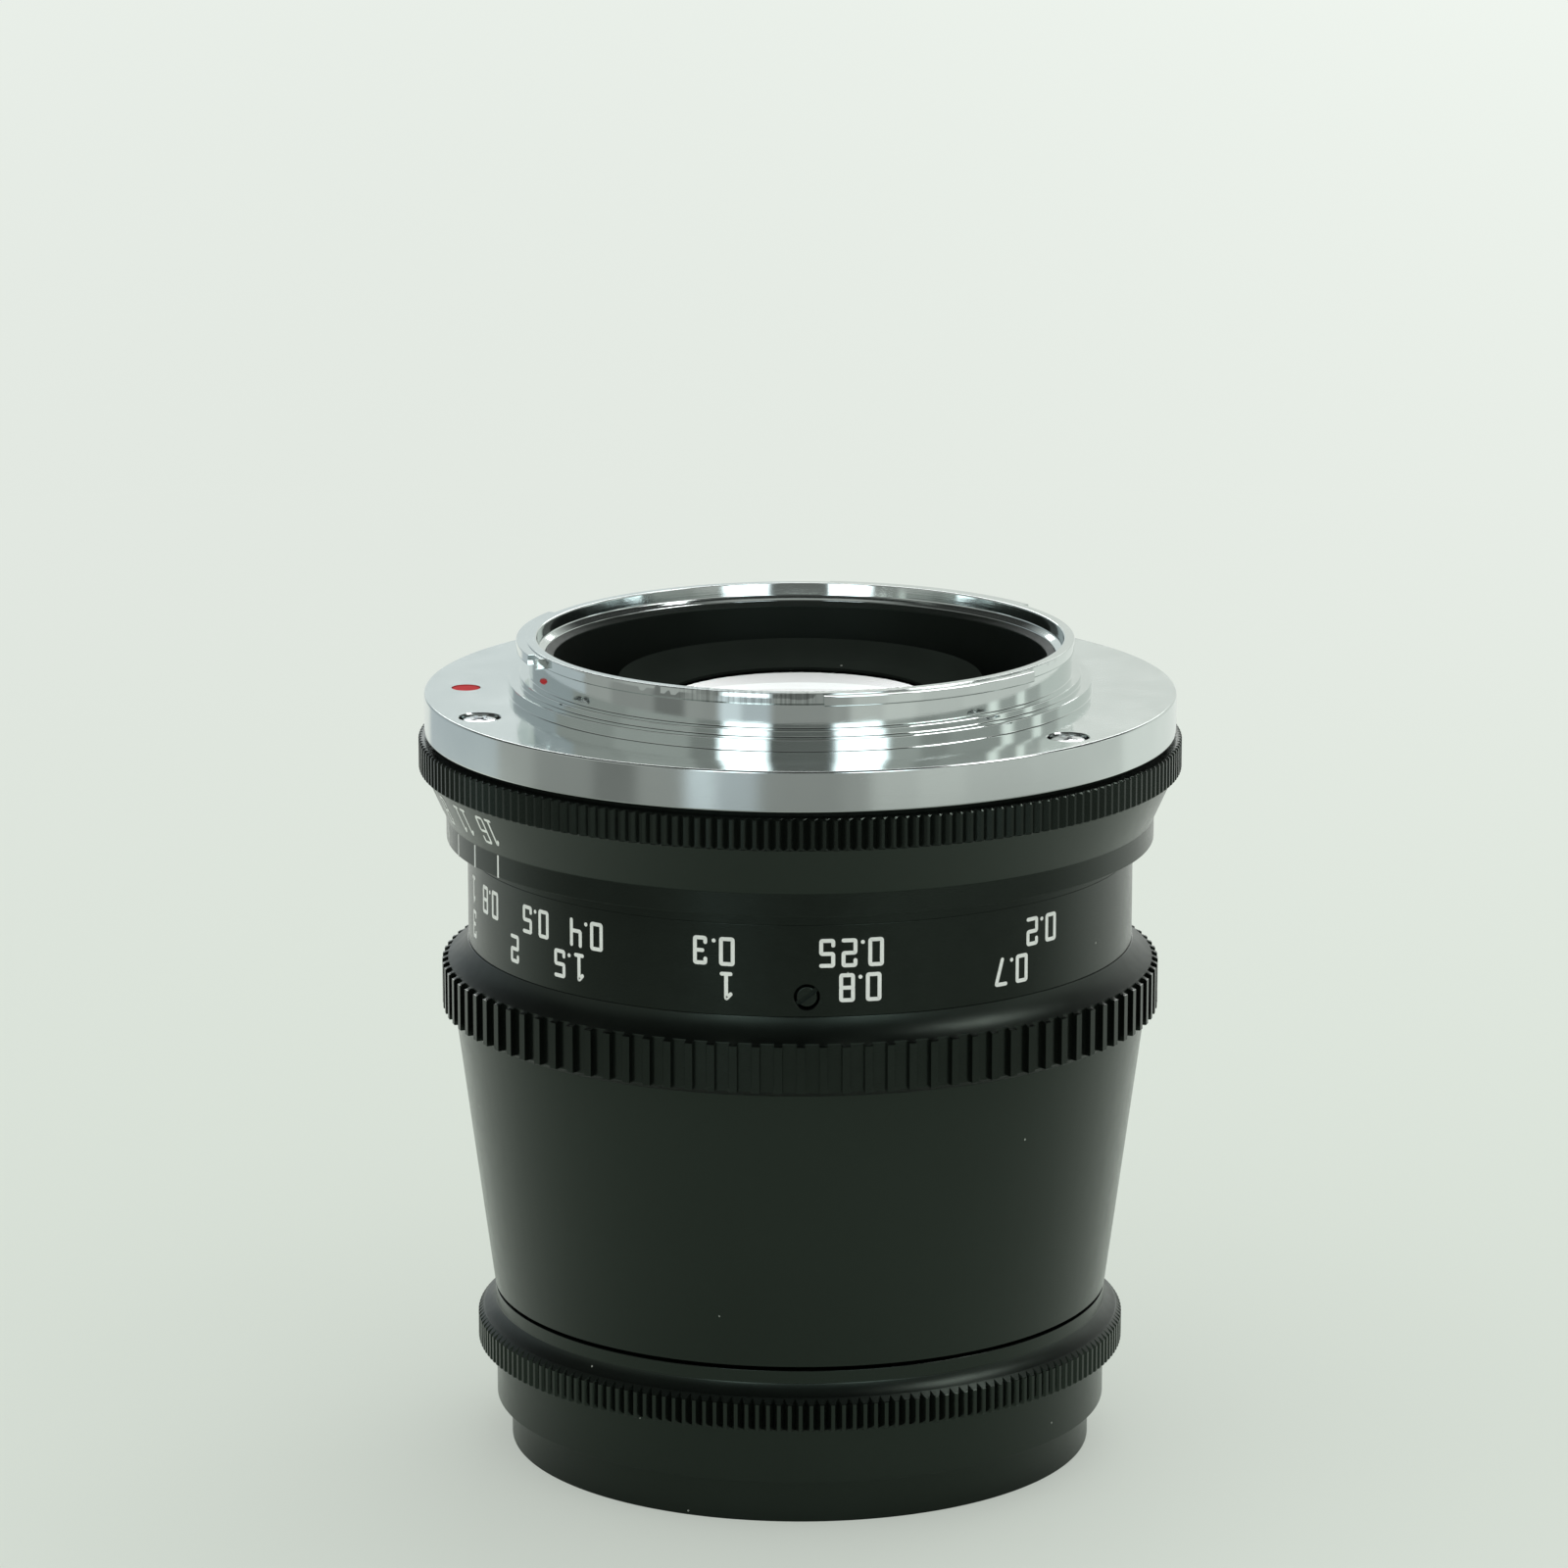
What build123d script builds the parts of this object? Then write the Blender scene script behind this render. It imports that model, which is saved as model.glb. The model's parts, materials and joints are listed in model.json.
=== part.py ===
from build123d import *
import math
import os

# Wide-angle prime lens standing on its front rim, mount up. Millimetres.
# The origin is the centre of the front rim's resting face, +Z runs along the optical
# axis towards the mount. Azimuth 0 faces -Y, and -90 degrees is the top of the lens.

# Running fits and seats
running_gap = 0.06       # radial gap of a turning or sliding fit
face_gap = 0.06          # axial gap between a turning part and its neighbour
seat_gap = 0.02          # gap of a push fit inside one body
free_gap = 0.3           # gap between parts that pass each other unguided

# Motion
stop_step = 7.95         # degrees of aperture ring per full stop
stops_open = 3           # stops from the rest setting to fully open
stops_closed = 4         # stops from the rest setting to the smallest opening
focus_near_turn = 136.3  # degrees from the rest setting to the closest distance
focus_far_turn = 9.5     # degrees from the rest setting to infinity
helicoid_lead = 8.28     # travel of the lens block in one turn
near_travel = helicoid_lead * focus_near_turn / 360
far_travel = helicoid_lead * focus_far_turn / 360
open_turn = stop_step * stops_open
closed_turn = stop_step * stops_closed

# Journal of the fixed barrel, which the rings are built up from
journal_radius = 21.9
body_step = 2.02         # barrel body over the journal
barrel_body_radius = journal_radius + body_step

# Focus ring
focus_bore_play = 0.5    # the ring's front bore passes over the retaining ring
focus_bore_radius = journal_radius + focus_bore_play
focus_front_wall = 1.02
focus_front_radius = focus_bore_radius + focus_front_wall
taper_rise = 2.84
taper_length = 21.5
focus_rear_radius = focus_front_radius + taper_rise
rib_relief = 0.42
rib_rise = 0.94
rib_radius = focus_rear_radius + rib_rise
rib_length = 3.5
rib_count = 103
rib_depth = 0.45
rib_share = 0.36         # part of the pitch that the land takes
flare_length = 1.75
flare_step = 0.1
flare_sag = 0.25
flare_foot_step = 0.06
sleeve_wall = 1.82
sleeve_inset = 4.6
sleeve_length = 15.0
scale_wall = 0.99
retainer_length = 0.9

# Front collar, from the resting face up
neck_step = 0.05         # neck under the front end of the taper
neck_length = 1.0
neck_radius = focus_front_radius - neck_step
collar_step = 0.04       # plain cylinder under the neck
collar_length = 4.45
collar_radius = neck_radius - collar_step
collar_knurl_rise = 1.4
collar_knurl_length = 2.0
collar_knurl_radius = collar_radius + collar_knurl_rise
knurl_bevel = 0.25
collar_dish_length = 1.0
collar_dish_sag = 0.12
collar_wall = 1.5
rim_step = 1.13
rim_length = 3.4
rim_radius = collar_radius - rim_step
filter_wall = 1.1
filter_depth = 5.0
filter_radius = rim_radius - filter_wall

# Distance scale ring and its set screws
scale_rise = 3.29        # scale and index rings over the journal
scale_radius = journal_radius + scale_rise
scale_length = 6.8
set_screw_radius = 0.92
set_screw_length = 1.6
set_screw_height = 1.45
set_screw_azimuth = 1.0
set_screw_count = 3
set_screw_slot_turn = 60.0
set_screw_sink = 0.15
slot_width = 0.3
slot_depth = 0.35

# Index ring and aperture ring
index_length = 0.9
aperture_wall = 2.78
band_radius = barrel_body_radius + running_gap + aperture_wall
band_length = 1.75
cone_length = 3.55
cone_rise = 1.6
cone_radius = band_radius + cone_rise
aperture_knurl_step = 0.45   # knurl over the flange
aperture_knurl_length = 2.4
aperture_knurl_bevel = 0.12
skirt_wall = 1.0
mount_gap = 0.4

# Fixed barrel
barrel_bore_radius = 19.4
drive_bore_wall = 2.92
drive_bore_radius = barrel_body_radius - drive_bore_wall
drive_bore_depth = 7.45
barrel_flange_length = 2.35
barrel_flange_gap = 0.1
nose_step = 1.0
barrel_nose_radius = journal_radius - nose_step

# Mount
flange_rise = 1.59       # flange over the aperture ring's band
flange_radius = band_radius + flange_rise
flange_length = 3.0
flange_bevel = 0.18
spigot_radius = 21.95
spigot_length = 0.9
step_radius = 21.15
step_length = 0.5
tube_radius = 20.45
tube_length = 1.8
mouth_radius = 20.64
mouth_length = 0.85
throat_radius = 19.75
baffle_seat_step = 0.55
throat_bevel = 0.3
throat_length = 0.95
skirt_depth = 3.3
lug_radius = 21.39
lug_root = 0.3
lug_count = 3
lug_span = 49.0
lug_azimuth = -91.0
lug_notch_azimuth = -69.0
lug_notch_width = 1.7
lug_notch_depth = 0.45
screw_azimuths = (-66.5, 49.0, 171.0)
screw_inset = 2.5
screw_head_radius = 1.35
screw_head_length = 1.0
screw_pocket_gap = 0.2
screw_pocket_depth = 1.1
screw_shank_radius = 0.85
screw_shank_length = 3.3
screw_cross_width = 1.6
screw_cross_turn = 20.0
dot_radius = 1.1
dot_inset = 3.15
dot_depth = 0.3
dot_azimuth = -90.0
baffle_wall = 0.6
baffle_height = 6.6
baffle_hole_gap = 1.18
baffle_corner = 0.9
baffle_lip = 0.3

# Click ball of the aperture ring
ball_radius = 0.6
ball_lift = 0.05
ball_azimuth = 90.0
ball_drop = 2.0
notch_radius = 0.75
notch_depth = 0.1
spring_floor = 0.3
spring_play = 0.15
spring_wire = 0.12
spring_coil_radius = 0.4
spring_turns = 4

# Stop screw of the focus ring, guide keys, drive pin
slit_gap = 0.1           # gap along the axis between a pin and the slit it travels in
stop_screw_radius = 1.0
stop_screw_azimuth = 60.0
stop_screw_height = 3.6
stop_groove_depth = 0.9
key_azimuths = (-90, 90)
key_width = 3.0
key_thickness = 1.75
key_inset = 3.5
key_overlap = 6.1
key_screw_inset = 2.4
key_screw_head_radius = 1.25
key_screw_head_length = 0.9
key_screw_sink = 0.25
key_screw_shank_radius = 0.7
key_screw_bite = 1.2
drive_pin_radius = 0.8
drive_pin_height = 2.06
drive_pin_cover = 0.9
drive_azimuth = 200.0
arm_width = 5.0
arm_thickness = 1.5
arm_clearance = 0.35     # between the arm and the bore of the fixed barrel
drive_ring_wall = 1.4

# Lens block: the moving barrel, from front to rear
head_wall = 1.25
land_inset = 1.0         # how far the land's rear end lies inside the helicoid sleeve
tail_wall = 1.0
tail_length = 12.5
front_bore_1 = 16.2
front_bore_2 = 14.2
front_bore_3 = 12.2
front_bore_1_length = 8.95
front_bore_2_length = 7.0
front_bore_3_length = 8.8
iris_light_radius = 11.0
iris_wall = 2.7
iris_bay_radius = 16.2
name_ring_depth = 3.5
name_ring_hole = 15.0
name_ring_sink = 0.1
name_ring_rim = 1.25
name_ring_rim_wall = 1.28
name_ring_lip = 0.6
name_ring_seat = 0.4

# Rear cell, its bores and seats from the cell's front end
rear_cell_radius = 13.72
rear_cell_length = 21.2
rear_cell_step = 0.1     # how far the cell's flange stays inside the barrel's tail
rear_bore_1 = 9.6
rear_bore_2 = 10.6
rear_bore_3 = 11.5
rear_bore_1_end = 9.3
rear_bore_2_end = 14.8
rear_seat_1 = 1.9
rear_seat_2 = 10.7
rear_seat_3 = 16.5
rear_seat_width = 0.5
rear_light_radius = 8.6
front_ring_wall = 1.3
spacer_wall = 1.0
thin_spacer_wall = 0.6
rear_ring_wall = 1.4
rear_ring_length = 1.7
rear_ring_dish = 1.56
rear_ring_step = 1.62
rear_ring_step_depth = 1.23
rear_ring_bevel = 0.1

# Lens elements: a bulge is the height of a face's vertex over its edge, positive where
# the face stands out of the glass
cement_gap = 0.02
front_bulges = (2.1, -1.2, 1.0, -1.0, -0.8, 1.4, 0.9, 0.6)
rear_bulges = (-2.9, 1.0, 1.0, -0.9, -1.4, 1.0, 1.0, -1.2)
element_1_edge = 3.4
element_2_edge = 3.0
element_3_edge = 3.2
element_4_edge = 3.4
element_5_edge = 3.8
element_6_edge = 2.7
element_7_edge = 2.8
element_8_edge = 4.84

# Iris
blade_count = 10
blade_thickness = 0.08
blade_pitch = 0.13
blade_gap = 0.05
blade_pivot_circle = 14.2
blade_inner_radius = 9.1
blade_outer_radius = 13.0
blade_first_angle = 2.0
blade_last_angle = 112.0
blade_turn = 32.1        # degrees a blade turns over the whole aperture range
blade_pin_radius = 0.25
blade_pin_inset = 0.8
blade_pin_drop = 2.9
blade_tab_width = 1.1
iris_plate_length = 0.7
iris_plate_step = 0.7
cam_gap = 0.2
cam_ring_length = 1.0
cam_ring_wall = 3.44
cam_pin_radius = 0.5
cam_pin_root = 0.8
cam_pin_reach = 2.5
iris_cover_gap = 0.1
iris_cover_length = 0.7
iris_cover_wall = 3.28
cam_path_steps = 12

# Heights worked out from the lengths above
collar_knurl_front = rim_length + collar_length
collar_knurl_rear = collar_knurl_front + collar_knurl_length
neck_front = collar_knurl_rear + knurl_bevel + collar_dish_length
neck_rear = neck_front + neck_length
focus_front = neck_rear + far_travel + face_gap
taper_rear = focus_front + taper_length
rib_front = taper_rear + rib_relief
rib_rear = rib_front + rib_length
flare_rear = rib_rear + flare_length
scale_front = flare_rear + seat_gap
scale_rear = scale_front + scale_length
index_front = scale_rear + face_gap
index_rear = index_front + index_length
aperture_front = index_rear + face_gap
band_rear = aperture_front + band_length
aperture_knurl_front = band_rear + cone_length
aperture_rear = aperture_knurl_front + aperture_knurl_length
flange_front = aperture_rear + mount_gap
flange_rear = flange_front + flange_length
spigot_rear = flange_rear + spigot_length
step_rear = spigot_rear + step_length
mouth_front = step_rear + tube_length
mount_rear = mouth_front + mouth_length
baffle_rear = mount_rear - throat_length - throat_bevel
skirt_front = flange_front - skirt_depth
barrel_flange_front = flange_front - barrel_flange_length
drive_bore_front = flange_front - drive_bore_depth
sleeve_front = focus_front + sleeve_inset
sleeve_rear = sleeve_front + sleeve_length
retainer_front = rib_front - rib_relief
retainer_rear = retainer_front + retainer_length
key_front = sleeve_front + key_inset
key_rear = retainer_front + key_overlap
key_screw_z = key_rear - key_screw_inset
stop_screw_z = scale_front + stop_screw_height
set_screw_z = scale_front + set_screw_height
ball_z = barrel_flange_front - ball_drop
drive_pin_z = drive_bore_front + drive_pin_height
block_front = filter_depth + seat_gap
head_rear = sleeve_front - far_travel - free_gap / 2
land_rear = sleeve_rear - land_inset
front_bore_1_rear = block_front + front_bore_1_length
front_bore_2_rear = front_bore_1_rear + front_bore_2_length
front_bore_3_rear = front_bore_2_rear + front_bore_3_length
name_ring_rear = block_front + name_ring_depth
iris_bay_front = front_bore_3_rear + iris_wall
tail_rear = iris_bay_front + tail_length
blade_pin_foot = iris_bay_front + seat_gap + blade_gap
blade_front = iris_bay_front + seat_gap + iris_plate_length + blade_gap
cam_front = blade_front + blade_count * blade_pitch + cam_gap
cam_rear = cam_front + cam_ring_length
cam_middle = cam_front + cam_ring_length / 2
iris_cover_front = cam_rear + iris_cover_gap
iris_cover_rear = iris_cover_front + iris_cover_length
rear_cell_front = iris_cover_rear + seat_gap
rear_cell_flange_rear = tail_rear - rear_cell_step
rear_cell_rear = rear_cell_front + rear_cell_length
rear_ring_rear = rear_cell_rear + rear_ring_length

# Radii worked out from the sizes above
aperture_knurl_radius = flange_radius + aperture_knurl_step
skirt_radius = aperture_knurl_radius - skirt_wall
barrel_flange_radius = skirt_radius - barrel_flange_gap
screw_circle = flange_radius - screw_inset
dot_circle = flange_radius - dot_inset
collar_seat_radius = neck_radius - collar_wall
head_radius = collar_seat_radius - seat_gap
scale_seat_radius = scale_radius - scale_wall
flare_foot_radius = scale_radius + flare_foot_step
sleeve_bore_radius = focus_bore_radius - seat_gap - sleeve_wall
land_radius = sleeve_bore_radius - running_gap
baffle_seat_radius = throat_radius - baffle_seat_step
baffle_hole_radius = rear_cell_radius + baffle_hole_gap
arm_outer_radius = barrel_bore_radius - arm_clearance
arm_inner_radius = arm_outer_radius - arm_thickness
tail_radius = iris_bay_radius + tail_wall
drive_ring_radius = drive_bore_radius - running_gap

def rise(radius, bulge, r):
    """Height at radius r of a spherical face over its own edge."""
    sphere = (radius ** 2 + bulge ** 2) / (2 * abs(bulge))
    return math.copysign(math.sqrt(sphere ** 2 - r ** 2) - (sphere - abs(bulge)), bulge)


# Radius, front edge and rear edge of every lens element, from the shoulders they sit on
radii = [radius - seat_gap for radius in (
    front_bore_1, front_bore_2, front_bore_3, front_bore_3,
    rear_bore_1, rear_bore_1, rear_bore_2, rear_bore_3)]
seat_1 = front_bore_1_rear
seat_2 = front_bore_2_rear - rise(radii[1], rear_bulges[1], front_bore_3)
seat_4 = front_bore_3_rear
seat_3 = seat_4 - element_4_edge - cement_gap
seat_5 = rear_cell_front + rear_seat_1
seat_6 = seat_5 + element_5_edge + cement_gap
seat_7 = rear_cell_front + rear_seat_2 + rise(radii[6], front_bulges[6], rear_bore_2 - rear_seat_width)
seat_8 = rear_cell_front + rear_seat_3 + rise(radii[7], front_bulges[7], rear_bore_3 - rear_seat_width)
element_edges = [
    (seat_1 - element_1_edge, seat_1), (seat_2 - element_2_edge, seat_2), (seat_3 - element_3_edge, seat_3),
    (seat_4 - element_4_edge, seat_4), (seat_5, seat_5 + element_5_edge), (seat_6, seat_6 + element_6_edge),
    (seat_7, seat_7 + element_7_edge), (seat_8, seat_8 + element_8_edge)]


def place(azimuth, radius=0.0, height=0.0):
    """Location at an azimuth, its local X pointing outwards and its local Z up."""
    return Rot(0, 0, azimuth - 90) * Pos(radius, 0, height)


def turned(*points):
    """Solid of revolution about Z from a closed outline of (radius, height) points."""
    with BuildPart() as part:
        with BuildSketch(Plane.XZ):
            with BuildLine():
                Polyline(*points, close=True)
            make_face()
        revolve(axis=Axis.Z)
    return part.part


def tube(inner, outer, front, rear):
    return turned((inner, front), (outer, front), (outer, rear), (inner, rear))


def hollow(start, end, sag, count=6):
    """Points of a concave arc from start to end, the sag towards the axis."""
    (r0, z0), (r1, z1) = start, end
    across, along = r1 - r0, z1 - z0
    length = math.hypot(across, along)
    side = -1 if along > 0 else 1
    points = []
    for i in range(count + 1):
        t = i / count
        depth = side * 4 * sag * t * (1 - t) / length
        points.append((r0 + across * t + along * depth, z0 + along * t - across * depth))
    return points


def arc_slot(inner, outer, front, rear, start, end):
    """Solid over an arc of azimuths, from start to end in degrees."""
    with BuildPart() as part:
        with BuildSketch(Plane.XZ):
            with Locations(((inner + outer) / 2, (front + rear) / 2)):
                Rectangle(outer - inner, rear - front)
        revolve(axis=Axis.Z, revolution_arc=end - start)
    return Rot(0, 0, start - 90) * part.part


def radial_pin(radius, inner, outer, azimuth, height):
    pin = Cylinder(radius, outer - inner, align=(Align.CENTER, Align.CENTER, Align.MIN))
    return place(azimuth, inner, height) * Rot(0, 90, 0) * pin


def around(count, first=0.0):
    return [first + 360 / count * i for i in range(count)]


def save(shape, node):
    export_step(shape, f"parts/{node}.step")


def make_front_collar():
    knurl_top = collar_knurl_radius - knurl_bevel
    dish = hollow((knurl_top, collar_knurl_rear + knurl_bevel), (neck_radius, neck_front), collar_dish_sag)
    return turned(
        (filter_radius, 0), (rim_radius, 0), (rim_radius, rim_length), (collar_radius, rim_length),
        (collar_radius, collar_knurl_front), (collar_knurl_radius, collar_knurl_front),
        (collar_knurl_radius, collar_knurl_rear), *dish, (neck_radius, neck_rear),
        (collar_seat_radius, neck_rear), (collar_seat_radius, filter_depth), (filter_radius, filter_depth))


def make_focus_ring():
    flare = hollow((rib_radius - flare_step, rib_rear), (flare_foot_radius, flare_rear), flare_sag)
    ring = turned(
        (focus_bore_radius, focus_front), (focus_front_radius, focus_front), (focus_rear_radius, taper_rear),
        (rib_radius - rib_depth, rib_front), (rib_radius, rib_front), *flare,
        (scale_seat_radius - seat_gap, flare_rear), (scale_seat_radius - seat_gap, scale_rear),
        (journal_radius + running_gap, scale_rear), (journal_radius + running_gap, retainer_rear + face_gap),
        (focus_bore_radius, retainer_rear + face_gap))
    pitch = 360 / rib_count
    gap_width = 2 * rib_radius * math.sin(math.radians(pitch * (1 - rib_share) / 2))
    low = (Align.CENTER, Align.CENTER, Align.MIN)
    gap = Box(rib_depth * 2, gap_width, rib_length + flare_length, align=low)
    cuts = [place(a, rib_radius, rib_front) * gap for a in around(rib_count)]
    for azimuth in around(set_screw_count, set_screw_azimuth):
        cuts.append(scale_screw(azimuth, seat_gap))
    cuts.append(stop_screw(seat_gap))
    return ring - cuts


def make_helicoid_sleeve():
    return tube(sleeve_bore_radius, focus_bore_radius - seat_gap, sleeve_front, sleeve_rear)


def scale_screw(azimuth, gap=0.0):
    outer = scale_radius - set_screw_sink
    length = set_screw_length + gap
    return radial_pin(set_screw_radius + gap, outer - length, outer + gap, azimuth, set_screw_z)


def make_distance_scale_ring():
    ring = tube(scale_seat_radius, scale_radius, scale_front, scale_rear)
    inner = scale_seat_radius - scale_wall
    outer = scale_radius + scale_wall
    holes = [radial_pin(set_screw_radius + seat_gap, inner, outer, a, set_screw_z)
             for a in around(set_screw_count, set_screw_azimuth)]
    return ring - holes


def screw_slot(azimuth, radius, height, head_radius):
    """Cutter for the driver slot in the head of a radial screw."""
    return place(azimuth, radius, height) * Box(slot_depth * 2, slot_width, 3 * head_radius)


def make_scale_set_screws():
    screws = []
    for azimuth in around(set_screw_count, set_screw_azimuth):
        slot = Rot(set_screw_slot_turn, 0, 0) * Box(slot_depth * 2, slot_width, 3 * set_screw_radius)
        screws.append(scale_screw(azimuth) - place(azimuth, scale_radius - set_screw_sink, set_screw_z) * slot)
    return Compound(children=screws)


def stop_screw(gap=0.0):
    inner = journal_radius - stop_groove_depth + running_gap - gap
    outer = scale_seat_radius - seat_gap + gap
    return radial_pin(stop_screw_radius + gap, inner, outer, stop_screw_azimuth, stop_screw_z)


def make_focus_stop_screw():
    top = scale_seat_radius - seat_gap
    return stop_screw() - screw_slot(stop_screw_azimuth, top, stop_screw_z, stop_screw_radius)


def make_index_ring():
    return tube(journal_radius, scale_radius, index_front, index_rear)


def make_aperture_ring():
    bevel = aperture_knurl_bevel
    inner = barrel_body_radius + running_gap
    ring = turned(
        (inner, aperture_front), (band_radius, aperture_front), (band_radius, band_rear),
        (cone_radius, aperture_knurl_front),
        (aperture_knurl_radius, aperture_knurl_front + bevel), (aperture_knurl_radius, aperture_rear - bevel),
        (aperture_knurl_radius - bevel, aperture_rear), (skirt_radius, aperture_rear),
        (skirt_radius, barrel_flange_front - face_gap), (inner, barrel_flange_front - face_gap))
    cuts = [aperture_pin(seat_gap)]
    for i in range(-stops_open, stops_closed + 1):
        groove = Cylinder(notch_radius, 3 * notch_radius)
        cuts.append(place(ball_azimuth + i * stop_step, inner + notch_depth - notch_radius, ball_z) * groove)
    return ring - cuts


def aperture_pin(gap=0.0):
    outer = band_radius - drive_pin_cover
    inner = drive_ring_radius - drive_ring_wall / 2
    return radial_pin(drive_pin_radius + gap, inner - gap, outer + gap, drive_azimuth, drive_pin_z)


def make_iris_drive_ring():
    """Ring turned by the aperture ring, with a forked arm that reaches forward to the iris."""
    inner = drive_ring_radius - drive_ring_wall
    front = drive_bore_front + face_gap
    rear = skirt_front - face_gap
    ring = tube(inner, drive_ring_radius, front, rear)
    tips = land_rear + far_travel + free_gap
    middle = (arm_inner_radius + arm_outer_radius) / 2
    low = (Align.CENTER, Align.CENTER, Align.MIN)
    arm = place(drive_azimuth, middle, tips) * Box(arm_thickness, arm_width, rear - tips, align=low)
    overlap = drive_ring_wall / 2
    foot_depth = inner + overlap - arm_inner_radius
    foot = place(drive_azimuth, arm_inner_radius + foot_depth / 2, front) * Box(
        foot_depth, arm_width, rear - front, align=low)
    fork_rear = cam_middle + far_travel + cam_pin_radius + free_gap
    fork = place(drive_azimuth, middle, tips) * Box(
        2 * arm_thickness, 2 * (cam_pin_radius + running_gap), 2 * (fork_rear - tips))
    return ring + arm + foot - [fork, aperture_pin(seat_gap)]


def make_fixed_barrel():
    barrel = turned(
        (barrel_bore_radius, retainer_front), (barrel_nose_radius, retainer_front),
        (barrel_nose_radius, retainer_rear), (journal_radius, retainer_rear), (journal_radius, index_rear),
        (barrel_body_radius, index_rear), (barrel_body_radius, barrel_flange_front),
        (barrel_flange_radius, barrel_flange_front), (barrel_flange_radius, flange_front),
        (drive_bore_radius, flange_front), (drive_bore_radius, drive_bore_front),
        (barrel_bore_radius, drive_bore_front))
    groove_floor = journal_radius - stop_groove_depth
    half = math.degrees((stop_screw_radius + running_gap) / groove_floor)
    groove = arc_slot(
        groove_floor, journal_radius + stop_groove_depth, stop_screw_z - stop_screw_radius - slit_gap,
        stop_screw_z + stop_screw_radius + slit_gap, stop_screw_azimuth - focus_near_turn - half,
        stop_screw_azimuth + focus_far_turn + half)
    half = math.degrees((drive_pin_radius + running_gap) / drive_bore_radius)
    window = arc_slot(
        drive_bore_radius - drive_pin_radius, barrel_body_radius + drive_pin_radius,
        drive_pin_z - drive_pin_radius - slit_gap, drive_pin_z + drive_pin_radius + slit_gap,
        drive_azimuth - closed_turn - half, drive_azimuth + open_turn + half)
    ball_hole = radial_pin(
        ball_radius + running_gap, drive_bore_radius + spring_floor, barrel_body_radius + ball_radius,
        ball_azimuth, ball_z)
    holes = [Pos(*polar(screw_circle, a, flange_front)) * Cylinder(
        screw_shank_radius + seat_gap, 2 * barrel_flange_length) for a in screw_azimuths]
    holes += [key_screw(a, seat_gap) for a in key_azimuths]
    return barrel - [groove, window, ball_hole, *holes]


def polar(radius, azimuth, height):
    angle = math.radians(azimuth)
    return radius * math.sin(angle), -radius * math.cos(angle), height


def key_screw(azimuth, gap=0.0):
    """Screw of a guide key; with a gap it is the hole, open to the outside over the head."""
    top = journal_radius - key_screw_sink
    foot = top - key_screw_head_length
    mouth = top if gap == 0 else journal_radius + key_screw_sink
    head = radial_pin(key_screw_head_radius + gap, foot, mouth, azimuth, key_screw_z)
    end = barrel_bore_radius - key_screw_bite - gap
    return head + radial_pin(key_screw_shank_radius + gap, end, foot, azimuth, key_screw_z)


def make_guide_key_screws():
    top = journal_radius - key_screw_sink
    return Compound(children=[
        key_screw(a) - screw_slot(a, top, key_screw_z, key_screw_head_radius) for a in key_azimuths])


def make_guide_keys():
    keys = []
    shell = tube(barrel_bore_radius - key_thickness, barrel_bore_radius - seat_gap, key_front, key_rear)
    for azimuth in key_azimuths:
        bar = place(azimuth, barrel_bore_radius, (key_front + key_rear) / 2) * Box(
            4 * key_thickness, key_width, key_rear - key_front)
        keys.append((shell & bar) - key_screw(azimuth, seat_gap))
    return Compound(children=keys)


def make_focus_retaining_ring():
    return tube(barrel_nose_radius, focus_bore_radius - running_gap, retainer_front, retainer_rear)


def make_click_ball():
    tip = barrel_body_radius + running_gap + ball_lift
    return Pos(*polar(tip - ball_radius, ball_azimuth, ball_z)) * Sphere(ball_radius)


def make_click_spring():
    start = drive_bore_radius + spring_floor + spring_wire
    end = barrel_body_radius + running_gap + ball_lift - 2 * ball_radius - spring_play
    pitch = (end - start - spring_wire) / spring_turns
    path = Helix(pitch, pitch * spring_turns, spring_coil_radius)
    wire = sweep(Plane(path @ 0, z_dir=path % 0) * Circle(spring_wire / 2), path=path)
    return place(ball_azimuth, start, ball_z) * Rot(0, 90, 0) * wire


def mount_screw(azimuth):
    top = flange_rear - screw_pocket_depth + screw_head_length
    head = Pos(*polar(screw_circle, azimuth, top)) * Cylinder(
        screw_head_radius, screw_head_length, align=(Align.CENTER, Align.CENTER, Align.MAX))
    shank = Pos(*polar(screw_circle, azimuth, top - screw_head_length)) * Cylinder(
        screw_shank_radius, screw_shank_length, align=(Align.CENTER, Align.CENTER, Align.MAX))
    bar = Box(screw_cross_width, slot_width, slot_depth * 2)
    cross = Rot(0, 0, azimuth + screw_cross_turn) * (bar + Rot(0, 0, 90) * bar)
    return head + shank - Pos(*polar(screw_circle, azimuth, top)) * cross


def make_mount_screws():
    return Compound(children=[mount_screw(a) for a in screw_azimuths])


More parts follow.
